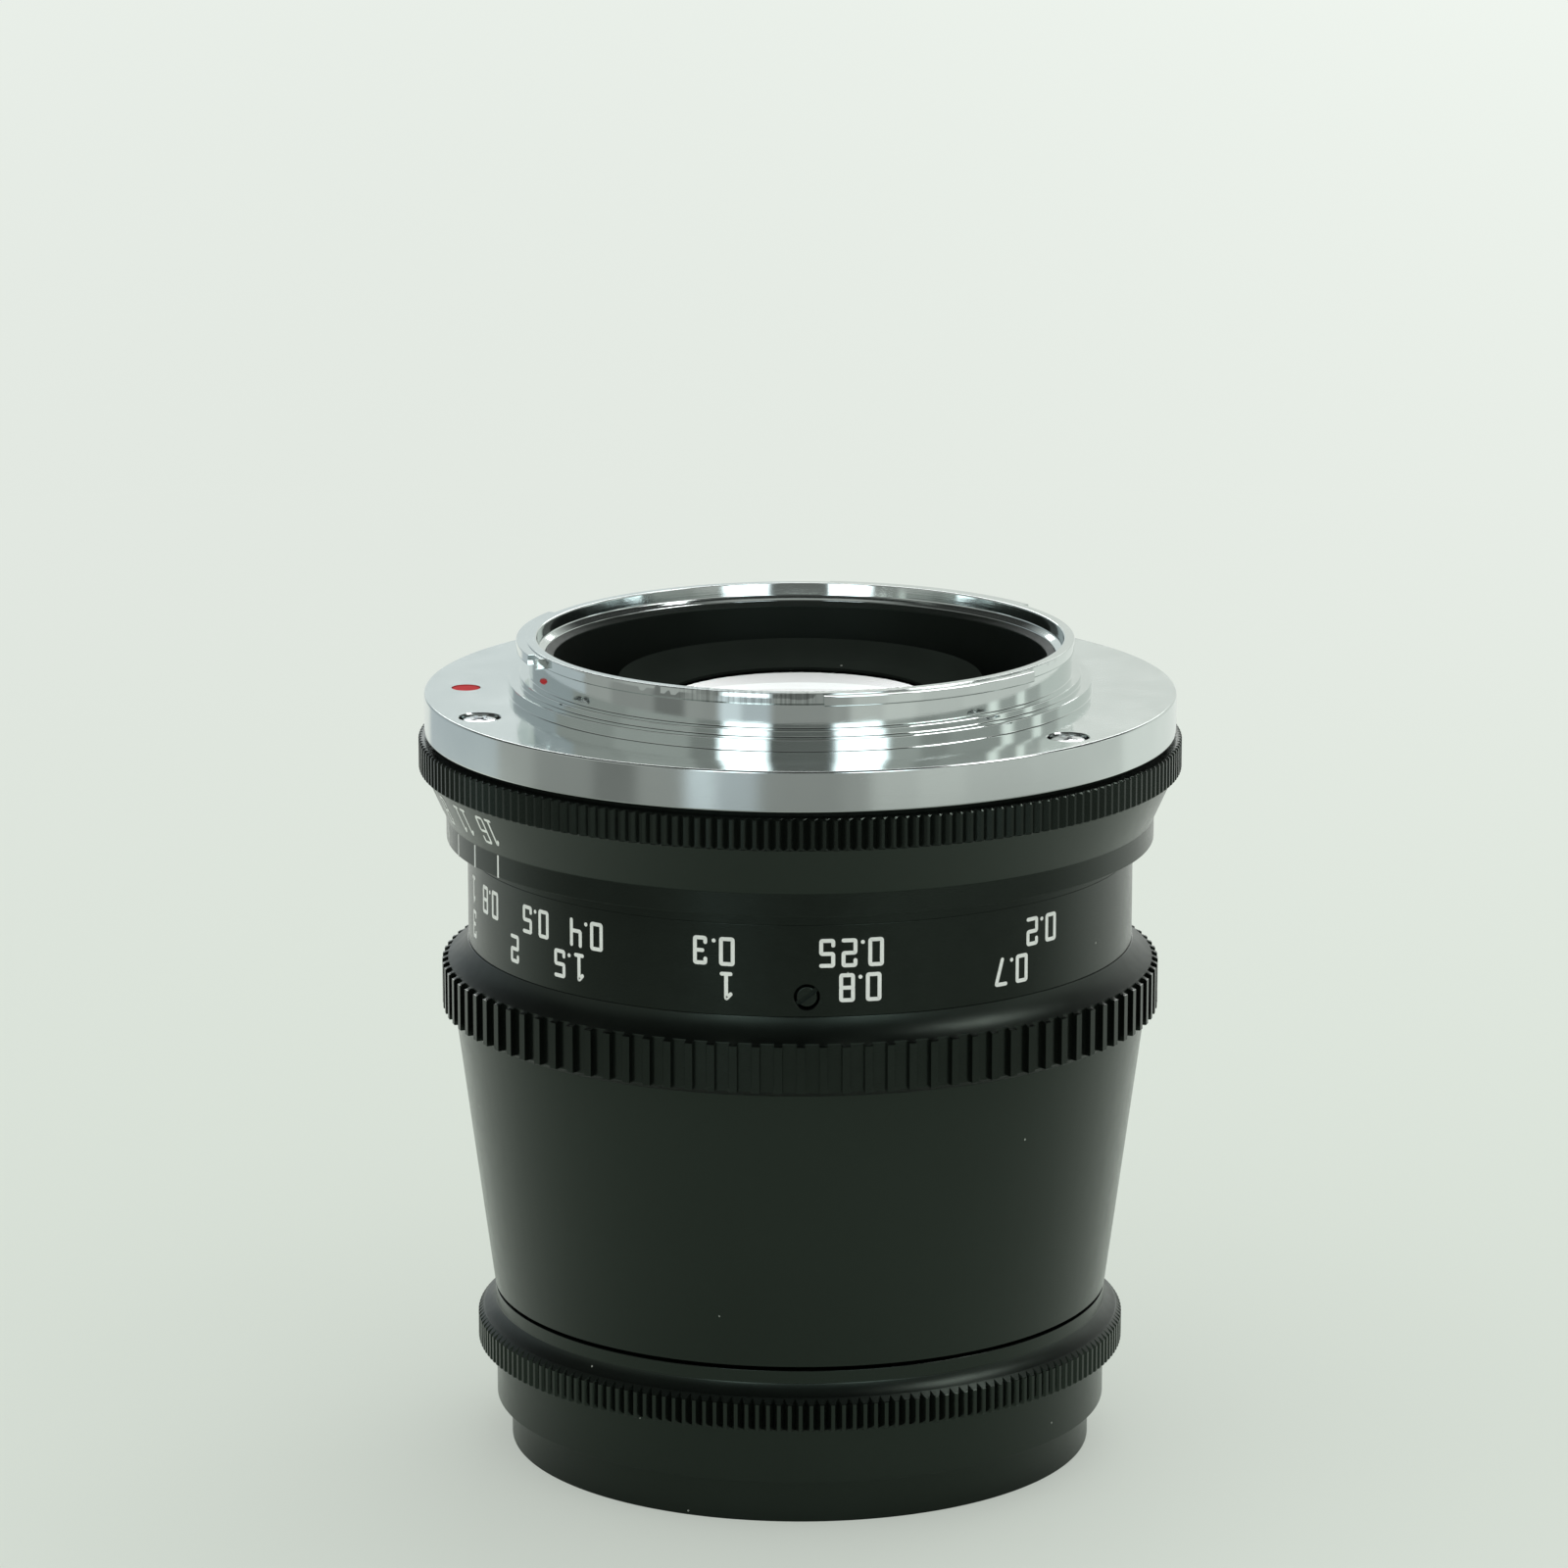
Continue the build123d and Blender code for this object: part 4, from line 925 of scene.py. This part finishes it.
def number_shapes(text, width, height, stroke, advance, corner):
    """Shapes of a number, centred; a point takes little room between the figures."""
    middles = []
    total = 0.0
    for sign in text:
        room = POINT_ROOM * advance if sign == "." else advance
        middles.append(total + room / 2)
        total += room
    shapes = []
    for sign, middle in zip(text, middles):
        across = middle - total / 2
        if sign == ".":
            shapes.append(dotted((across, POINT_HEIGHT - height / 2), stroke * POINT_SIZE))
            continue
        for path in GLYPHS[sign]:
            closed = path[-1] == "closed"
            points = [(across + u * width / 2, v * height / 2) for u, v in (path[:-1] if closed else path)]
            shapes.append(ribbon(rounded_line(points, corner, closed), stroke, closed))
    return shapes


def eight_lying(width, height, stroke):
    """The sign for infinity."""
    line = []
    for k in range(ENDLESS_POINTS):
        a = TURN * k / ENDLESS_POINTS
        line.append(Vector((width / 2 * math.cos(a), height / 2 * math.sin(2 * a))))
    return [ribbon(line, stroke, True)]


def line_shape(width, low, high):
    """A straight tick along the axis, cut square."""
    steps = [(low + (high - low) * k / TICK_STEPS) for k in range(TICK_STEPS + 1)]
    points = [Vector((side * width / 2, v)) for v in steps for side in (-1, 1)]
    faces = [(2 * k, 2 * k + 1, 2 * k + 3, 2 * k + 2) for k in range(TICK_STEPS)]
    return [(points, faces)]


def gathered(works):
    """Several marks in one mesh."""
    return merged(*(settled(work) for work in works))


SCALE_FIGURE = dict(width=0.87, height=1.86, stroke=0.29, advance=1.62, corner=0.12)
STOP_FIGURE = dict(width=0.84, height=2.0, stroke=0.21, advance=1.24, corner=0.2)
UPPER_ROW = {"0.2": 44.5, "0.25": 8.4, "0.3": -14.5, "0.4": -38.5, "0.5": -50.8, "0.8": -66.5, "1": -76.2}
LOWER_ROW = {"0.7": 37.7, "0.8": 9.85, "1": -12.4, "1.5": -42.3, "2": -57.0, "3": -75.6}
ENDLESS_SIGN = (2.3, 0.95, 0.3)         # width, height and stroke
ENDLESS_AZIMUTH = -99.5
STOPS = ("16", "11", "8", "5.6", "4", "2.8", "2", "1.4")
STOP_AT_INDEX = "4"
FIRST_STOP = -56.3
STOP_STEP = 7.95
TICK_WIDTH = 0.2
INDEX_WIDTH = 0.3
TICK_GAP = 0.06         # from a tick's end to the edge of its ring
upper_row_height = scale_front + 4.73
lower_row_height = scale_front + 2.13
stop_number_height = band_rear + 1.85


def scale_surface(_):
    """Radius of the scale band, the same at every height."""
    return scale_radius


def index_surface(_):
    """Radius of the index band, the same at every height."""
    return index_radius


def stop_azimuth(number):
    """Place of a stop round the stop ring, in radians."""
    return math.radians(FIRST_STOP - number * STOP_STEP)


def stop_surface(z):
    """Radius of the stop ring's band and cone at a height."""
    share = min(max((z - band_rear) / (stop_knurl_front - band_rear), 0), 1)
    return band_radius + share * (cone_radius - band_radius)


def make_scale_numbers():
    works = []
    for row, height in ((UPPER_ROW, upper_row_height), (LOWER_ROW, lower_row_height)):
        for text, azimuth in row.items():
            shapes = number_shapes(text, **SCALE_FIGURE)
            works.append(paint_work(shapes, math.radians(azimuth), height, scale_surface))
    for height in (upper_row_height, lower_row_height):
        endless = eight_lying(*ENDLESS_SIGN)
        works.append(paint_work(endless, math.radians(ENDLESS_AZIMUTH), height, scale_surface))
    return gathered(works)


def make_stop_numbers():
    works = []
    middle = (stop_front + band_rear) / 2
    tick = line_shape(TICK_WIDTH, stop_front + TICK_GAP - middle, band_rear - middle)
    for number, text in enumerate(STOPS):
        shapes = number_shapes(text, **STOP_FIGURE)
        works.append(paint_work(shapes, stop_azimuth(number), stop_number_height, stop_surface))
        works.append(paint_work(tick, stop_azimuth(number), middle, stop_surface))
    return gathered(works)


def make_index_mark():
    middle = (index_front + index_rear) / 2
    half = (index_rear - index_front) / 2 - TICK_GAP
    mark = line_shape(INDEX_WIDTH, -half, half)
    azimuth = stop_azimuth(STOPS.index(STOP_AT_INDEX))
    return gathered([paint_work(mark, azimuth, middle, index_surface)])


finished_piece("scale_numbers", make_scale_numbers(), "focus_ring", "ring_black", mark_white)
finished_piece("stop_numbers", make_stop_numbers(), "aperture_ring", "ring_black", mark_white)
finished_piece("index_mark", make_index_mark(), "fixed_barrel", "ring_black", mark_white)


# Bayonet mount: flange, stepped spigot, thin tube with three lugs, one of them notched

LUG_SPAN = 49.0
LUG_AZIMUTHS = (-91.0, 29.0, 149.0)
LUG_RADIUS = 21.39
NOTCH_AZIMUTH = -69.0
NOTCH_WIDTH = 1.7
NOTCH_DEPTH = 0.45
FLANGE_BEVEL = 0.1
SPIGOT_RADIUS = 21.95
STEP_RADIUS = 21.15
TUBE_RADIUS = 20.45
MOUTH_RADIUS = 20.64
MOUTH_BEVEL = 0.045
PLAIN_REACH = 20.641    # just over the mouth's radius, so that the outline keeps its points
THROAT_RADIUS = 19.75
THROAT_MOUTH = 19.86    # radius of the throat's widened rear end
BAFFLE_SEAT = 19.2      # radius of the bore that the baffle sits in
MOUNT_SKIRT = 20.98
MOUNT_EDGE = 0.075
spigot_top = flange_top + 0.9
step_top = flange_top + 1.4
mouth_front = mount_high - 0.85
lug_rear = mount_high - 0.09
throat_rear = mount_high - 0.95
seat_rear = mount_high - 1.25


def mount_outline(lug_reach):
    """Half section of the mount where its mouth reaches out to a radius."""
    return eased([
        (BAFFLE_SEAT, mount_low), (MOUNT_SKIRT, mount_low), (MOUNT_SKIRT, flange_foot),
        (mount_radius, flange_foot), (mount_radius, flange_top - FLANGE_BEVEL),
        (mount_radius - FLANGE_BEVEL, flange_top),
        (SPIGOT_RADIUS, flange_top), (SPIGOT_RADIUS, spigot_top), (STEP_RADIUS, spigot_top),
        (STEP_RADIUS, step_top), (TUBE_RADIUS, step_top), (TUBE_RADIUS, mouth_front),
        (lug_reach, mouth_front), (lug_reach, lug_rear), (MOUTH_RADIUS, lug_rear),
        (MOUTH_RADIUS, mount_high - MOUTH_BEVEL), (MOUTH_RADIUS - MOUTH_BEVEL, mount_high),
        (THROAT_MOUTH, mount_high), (THROAT_RADIUS, throat_rear), (BAFFLE_SEAT, seat_rear)
    ], MOUNT_EDGE, every_corner=True)


SLANT = 0.05            # half the azimuth over which one outline turns into the next, in degrees
DOT_SEAT_RADIUS = 1.1
DOT_SEAT_DEPTH = 0.25
DOT_RADIUS = 1.06
TOOL_TOP = 0.5          # how far the cutters of the pockets stand above the flange


def mount_columns():
    """Outlines round the mount, with a pair of columns wherever the outline changes."""
    plain = mount_outline(PLAIN_REACH)
    lug = mount_outline(LUG_RADIUS)
    notched = mount_outline(LUG_RADIUS - NOTCH_DEPTH)
    half_notch = math.degrees(NOTCH_WIDTH / 2 / LUG_RADIUS)
    changes = []
    for middle in LUG_AZIMUTHS:
        changes.append((middle - LUG_SPAN / 2, plain, lug))
        changes.append((middle + LUG_SPAN / 2, lug, plain))
    changes.append((NOTCH_AZIMUTH - half_notch, lug, notched))
    changes.append((NOTCH_AZIMUTH + half_notch, notched, lug))
    changes = sorted((azimuth % 360, before, after) for azimuth, before, after in changes)
    columns = []
    for azimuth, before, after in changes:
        columns += [(azimuth - SLANT, before), (azimuth + SLANT, after)]
    for i in range(AROUND):
        azimuth = 360 * i / AROUND
        if min(abs((azimuth - change[0] + 180) % 360 - 180) for change in changes) < 2 * SLANT:
            continue
        earlier = [change for change in changes if change[0] < azimuth] or changes
        columns.append((azimuth, earlier[-1][2]))
    columns.sort(key=lambda column: column[0])
    return [(math.radians(azimuth), outline) for azimuth, outline in columns]


def at_dot(height):
    """Matrix that moves a plug to the red dot's place."""
    return Matrix.Translation(on_barrel(dot_circle, math.radians(-90), height))


def make_mount_plate():
    mouth = SCREW_POCKET + POCKET_RIM
    pocket = turned([
        (0, -POCKET_DEPTH), (SCREW_POCKET, -POCKET_DEPTH), (SCREW_POCKET, -0.07), (mouth, 0.03),
        (mouth, TOOL_TOP), (0, TOOL_TOP)], POCKET_AROUND)
    plate = carved(settled(stretched(mount_columns())), standing(pocket, flange_top))
    seat = turned([
        (0, -DOT_SEAT_DEPTH), (DOT_SEAT_RADIUS, -DOT_SEAT_DEPTH), (DOT_SEAT_RADIUS, TOOL_TOP),
        (0, TOOL_TOP)], POCKET_AROUND)
    return carved(plate, moved(seat, at_dot(flange_top)))


finished_piece("mount_plate", make_mount_plate(), "fixed_barrel", "mount_chrome", mount_chrome,
               "bayonet_mount")
finished_piece("mount_screw_heads", make_mount_screws(), "fixed_barrel", "screw_steel", screw_steel,
               "mount_screws")


def make_red_dot():
    foot = dot_foot - dot_top
    dot = turned(eased([
        (0, 0), (0.55, -0.008), (DOT_RADIUS, -0.035), (DOT_RADIUS, foot), (0, foot)], 0.04), SMALL_AROUND)
    return moved(dot, at_dot(dot_top))


finished_piece("red_dot", make_red_dot(), "fixed_barrel", "red_mark", dot_red, "mount_index_dot")


# Rear light baffle: thin stepped cup inside the mount

BAFFLE_WALL = 0.6
BAFFLE_HOLE = 14.9
BAFFLE_BEVEL = 0.9      # between the cup's wall and its floor
BAFFLE_LIP = 0.3        # how far the wall's inner edge lies below its outer one


def make_light_baffle():
    inner = baffle_radius - BAFFLE_WALL
    floor = baffle_low + BAFFLE_WALL
    return turned(eased([
        (BAFFLE_HOLE, baffle_low), (baffle_radius, baffle_low), (baffle_radius, baffle_high),
        (inner, baffle_high - BAFFLE_LIP), (inner, floor + BAFFLE_BEVEL), (inner - BAFFLE_BEVEL, floor),
        (BAFFLE_HOLE, floor)]))


finished_piece("light_baffle", make_light_baffle(), "fixed_barrel", "baffle_black", baffle_black,
               "rear_baffle")


# The other round parts keep the frame's shape, as smooth copies; each is given with its body

SMOOTHED = {
    "fixed_barrel": "fixed_barrel", "focus_retaining_ring": "fixed_barrel", "lens_barrel": "lens_block",
    "front_name_ring": "lens_block", "front_retaining_ring": "lens_block", "rear_cell": "lens_block",
    "rear_retaining_ring": "lens_block", "iris_base_plate": "lens_block", "iris_cover_ring": "lens_block",
    "helicoid_sleeve": "focus_ring", "iris_cam_ring": "iris_cam", "iris_drive_ring": "aperture_ring",
    "click_ball": "click_ball"}
SMOOTHED.update({f"lens_element_{n}": "lens_block" for n in range(1, 9)})
SMOOTHED.update({f"spacer_ring_{n}": "lens_block" for n in range(1, 5)})
IN_THROAT = ("rear_cell", "rear_retaining_ring")
slots = {entry["node"]: entry["material_slot"] for entry in frame["record"]["subparts"]}

for name, body in SMOOTHED.items():
    work = bmesh.new()
    work.from_mesh(frame["nodes"][name].data)
    finish = throat_black if name in IN_THROAT else FINISH_OF_SLOT[slots[name]]
    finished_piece(f"{name}_smooth", settled(work, recalculate=False), body, slots[name], finish, name)

for name, item in frame["nodes"].items():
    finish = FINISH_OF_SLOT[slots[name]]
    if item.material_slots:
        item.material_slots[0].material = finish
    else:
        item.data.materials.append(finish)


# Floor, light and camera, whose places and lengths are in metres

FLOOR_SIZE = 6.0        # half its side
FLOOR_COLOUR = (0.70, 0.765, 0.69, 1)
# Painted shade: the floor's glow is darker near the lens (NEAR_FLOOR) and lighter far off (FAR_FLOOR)
NEAR_FLOOR = (0.715, 0.76, 0.705, 1)
FAR_FLOOR = (0.825, 0.873, 0.82, 1)
SHADOW_SHARE = 0.54     # how much of the lens's own shadow the floor shows
ROOM_LIGHT = 3.0        # how bright the room's bands look in the polished mount
EVEN_LIGHT = (0.80, 0.815, 0.80, 1)
BORDER = 1.5            # half the soft border between two bands, in degrees


def banded(tree, azimuth, bands):
    """A colour that changes with the azimuth, from pairs of an azimuth in degrees and a colour."""
    ramp = node(tree, "ShaderNodeValToRGB", {0: ranged(tree, azimuth, -180, 180, 0, 1)})
    points = ramp.color_ramp.elements
    while len(points) > 1:
        points.remove(points[-1])
    for number, (start, colour) in enumerate(bands):
        point = points[0] if number == 0 else points.new((start + 180) / 360)
        point.position = (start + 180) / 360
        point.color = (*colour, 1)
    return ramp.outputs[0]


def azimuth_of(tree, parts):
    """The azimuth in degrees of separated coordinates."""
    angle = maths(tree, "ARCTAN2", parts.outputs[0], maths(tree, "MULTIPLY", parts.outputs[1], -1))
    return maths(tree, "MULTIPLY", angle, 180 / math.pi)


def pale(level, warm=0.0):
    """A pale grey of a level, a little green, or bluish where warm is below zero."""
    return (level * (0.95 + 0.1 * warm), level, level * (0.95 - 0.15 * warm))


def stepped(*bands):
    """Bands with short soft borders, each given as a border azimuth, a level and how warm it is."""
    points = []
    before = None
    for start, *tone in bands:
        colour = pale(*tone)
        if before:
            points.append((start - BORDER, before))
            start += BORDER
        points.append((start, colour))
        before = colour
    return points


# What the polished mount sees of the room: the table beyond the lens, windows and dark frames
TABLE_BANDS = stepped(
    (-180, 0.85), (-150, 0.55, -0.6), (-100, 0.40), (-84, 0.31), (-62, 0.20), (-48, 0.36), (-40, 0.34),
    (-33, 0.85, -0.6), (-24, 0.58, -0.6), (-12, 0.32), (12, 0.38), (20, 0.60), (34, 0.68), (48, 0.62),
    (70, 0.66), (110, 0.85))
ROOM_BANDS = stepped(
    (-180, 0.255, -0.3), (-158, 0.15, -0.6), (-112, 0.13), (-78, 0.15), (-44, 0.10), (-32, 1.0, -0.6),
    (-13, 0.055), (14, 1.0, -0.6), (34, 0.16), (48, 0.12), (60, 0.14), (86, 0.40), (92, 0.16),
    (104, 0.38), (110, 0.18), (122, 0.255))


def dimmed(tree, colour, share):
    """A colour times a share, which may be another node's output."""
    return node(tree, "ShaderNodeVectorMath", {0: colour, "Scale": share}, operation="SCALE").outputs[0]


def floor_finish():
    """Pale paper that glows to the camera, shows a soft shadow, and carries bands for gloss; its glow has
    painted shade near the lens and painted light towards +x, and gloss sees painted shade on it in front of
    the lens.
    """
    finish = bpy.data.materials.new("pale_floor")
    finish.use_nodes = True
    tree = finish.node_tree
    tree.nodes.clear()
    place = tree.nodes.new("ShaderNodeTexCoord").outputs["Object"]
    parts = node(tree, "ShaderNodeSeparateXYZ", {0: place})
    away = node(tree, "ShaderNodeVectorMath", {0: place}, operation="LENGTH").outputs["Value"]
    rays = tree.nodes.new("ShaderNodeLightPath")
    glossy = rays.outputs["Is Glossy Ray"]
    seen = maths(tree, "MAXIMUM", rays.outputs["Is Camera Ray"], rays.outputs["Is Transmission Ray"])

    # Painted shade: the glow darkens from the far colour to the near one towards the lens
    far = maths(tree, "POWER", ranged(tree, away, 0.06, 1.0, 0, 1), 0.6)
    colour = blended(tree, far, NEAR_FLOOR, FAR_FLOOR)
    # Painted light: the floor's glow is made brighter towards +x, the side that the key lamp stands on
    painted_light_right = ranged(tree, parts.outputs[0], -0.1, 0.25, 0.985, 1.06, smooth=True)
    # Painted shade: near the lens, what gloss sees of the floor is darkened on the camera's side
    front = ranged(tree, parts.outputs[1], -0.06, 0.075, 0.28, 1.0, smooth=True)
    table = banded(tree, azimuth_of(tree, parts), TABLE_BANDS)
    beyond = ranged(tree, away, 0.235, 0.25, 0, 1, smooth=True)
    mirrored = blended(tree, beyond, dimmed(tree, colour, front), table)
    shown = blended(tree, glossy, dimmed(tree, colour, painted_light_right), mirrored)

    shadow = ranged(tree, away, 0.06, 0.40, 1 - SHADOW_SHARE, 1, smooth=True)
    contact = ranged(tree, away, 0.05, 0.2, 0.2, 1, smooth=True)
    share = maths(tree, "MAXIMUM", maths(tree, "MULTIPLY", shadow, seen),
                  maths(tree, "MULTIPLY", contact, glossy))
    glow = node(tree, "ShaderNodeEmission", {"Color": shown}).outputs[0]
    paper = node(tree, "ShaderNodeBsdfDiffuse", {"Color": FLOOR_COLOUR}).outputs[0]
    mix = node(tree, "ShaderNodeMixShader", {0: share, 1: paper, 2: glow}).outputs[0]
    tree.links.new(mix, tree.nodes.new("ShaderNodeOutputMaterial").inputs["Surface"])
    return finish


def make_floor():
    work = bmesh.new()
    bmesh.ops.create_grid(work, x_segments=1, y_segments=1, size=FLOOR_SIZE)
    mesh = mesh_of(work, "floor")
    mesh.materials.append(floor_finish())
    floor = bpy.data.objects.new("floor", mesh)
    bpy.context.scene.collection.objects.link(floor)


def make_world():
    """Even light for matt surfaces; gloss sees windows in front, dim walls and a dark ceiling."""
    world = bpy.data.worlds.new("studio")
    bpy.context.scene.world = world
    world.use_nodes = True
    tree = world.node_tree
    tree.nodes.clear()
    way = tree.nodes.new("ShaderNodeTexCoord").outputs["Generated"]
    parts = node(tree, "ShaderNodeSeparateXYZ", {0: way})
    depth, height = parts.outputs[1:]
    rays = tree.nodes.new("ShaderNodeLightPath")
    walls = dimmed(tree, banded(tree, azimuth_of(tree, parts), ROOM_BANDS), ROOM_LIGHT)
    behind = ranged(tree, depth, -0.1, 0.3, 0, 0.25, smooth=True)
    up = ranged(tree, maths(tree, "ADD", height, behind), 0.55, 0.8, 0, 1, smooth=True)
    overhead = ranged(tree, height, 0.84, 0.92, 0, 1, smooth=True)
    overhead = maths(tree, "MULTIPLY", overhead, ranged(tree, depth, 0.08, 0.16, 0, 1, smooth=True))
    ceiling = blended(tree, overhead, (*pale(0.045), 1), (*pale(0.4), 1))
    gloss = blended(tree, up, walls, ceiling)
    colour = blended(tree, rays.outputs["Is Glossy Ray"], EVEN_LIGHT, gloss)
    colour = blended(tree, rays.outputs["Is Camera Ray"], colour, FAR_FLOOR)
    colour = blended(tree, rays.outputs["Is Transmission Ray"], colour, FAR_FLOOR)
    back = node(tree, "ShaderNodeBackground", {"Color": colour}).outputs[0]
    tree.links.new(back, tree.nodes.new("ShaderNodeOutputWorld").inputs["Surface"])


def make_light(name, place, target, width, depth, radiance, glossy=False, matt=True):
    """A rectangular lamp that looks radiance bright and faces the target."""
    lamp = bpy.data.lights.new(name, "AREA")
    lamp.shape = "RECTANGLE"
    lamp.size = width
    lamp.size_y = depth
    lamp.energy = radiance * math.pi * width * depth
    made = bpy.data.objects.new(name, lamp)
    made.location = place
    made.rotation_euler = (Vector(target) - Vector(place)).to_track_quat("-Z", "Y").to_euler()
    bpy.context.scene.collection.objects.link(made)
    made.visible_camera = False
    made.visible_glossy = glossy
    made.visible_diffuse = matt


FOCAL_LENGTH = 152.35
SENSOR_WIDTH = 36
CAMERA_PLACE = (-0.00122, -0.48918, 0.16469)    # solved from the outlines of the rings in view
LOOK_DOWN = 13.0817     # tilt below the horizon, in degrees


def make_camera():
    lens = bpy.data.cameras.new("camera")
    lens.lens = FOCAL_LENGTH
    lens.sensor_width = SENSOR_WIDTH
    camera = bpy.data.objects.new("camera", lens)
    camera.location = CAMERA_PLACE
    camera.rotation_euler = (math.radians(90 - LOOK_DOWN), 0, 0)
    bpy.context.scene.collection.objects.link(camera)
    bpy.context.scene.camera = camera


make_floor()
make_world()
make_light("soft_key", (0.22, 0.55, 0.75), (0, 0, 0.02), 0.7, 0.7, 1.5)
make_light("high_back", (0.0, 1.0, 0.60), (0, 0, 0.06), 0.56, 0.42, 3.6, glossy=True, matt=False)
make_light("high_right", (0.62, 0.06, 1.0), (0, 0, 0.03), 0.3, 0.3, 7.0, glossy=True, matt=False)
make_camera()

bpy.context.scene.view_settings.view_transform = "Standard"
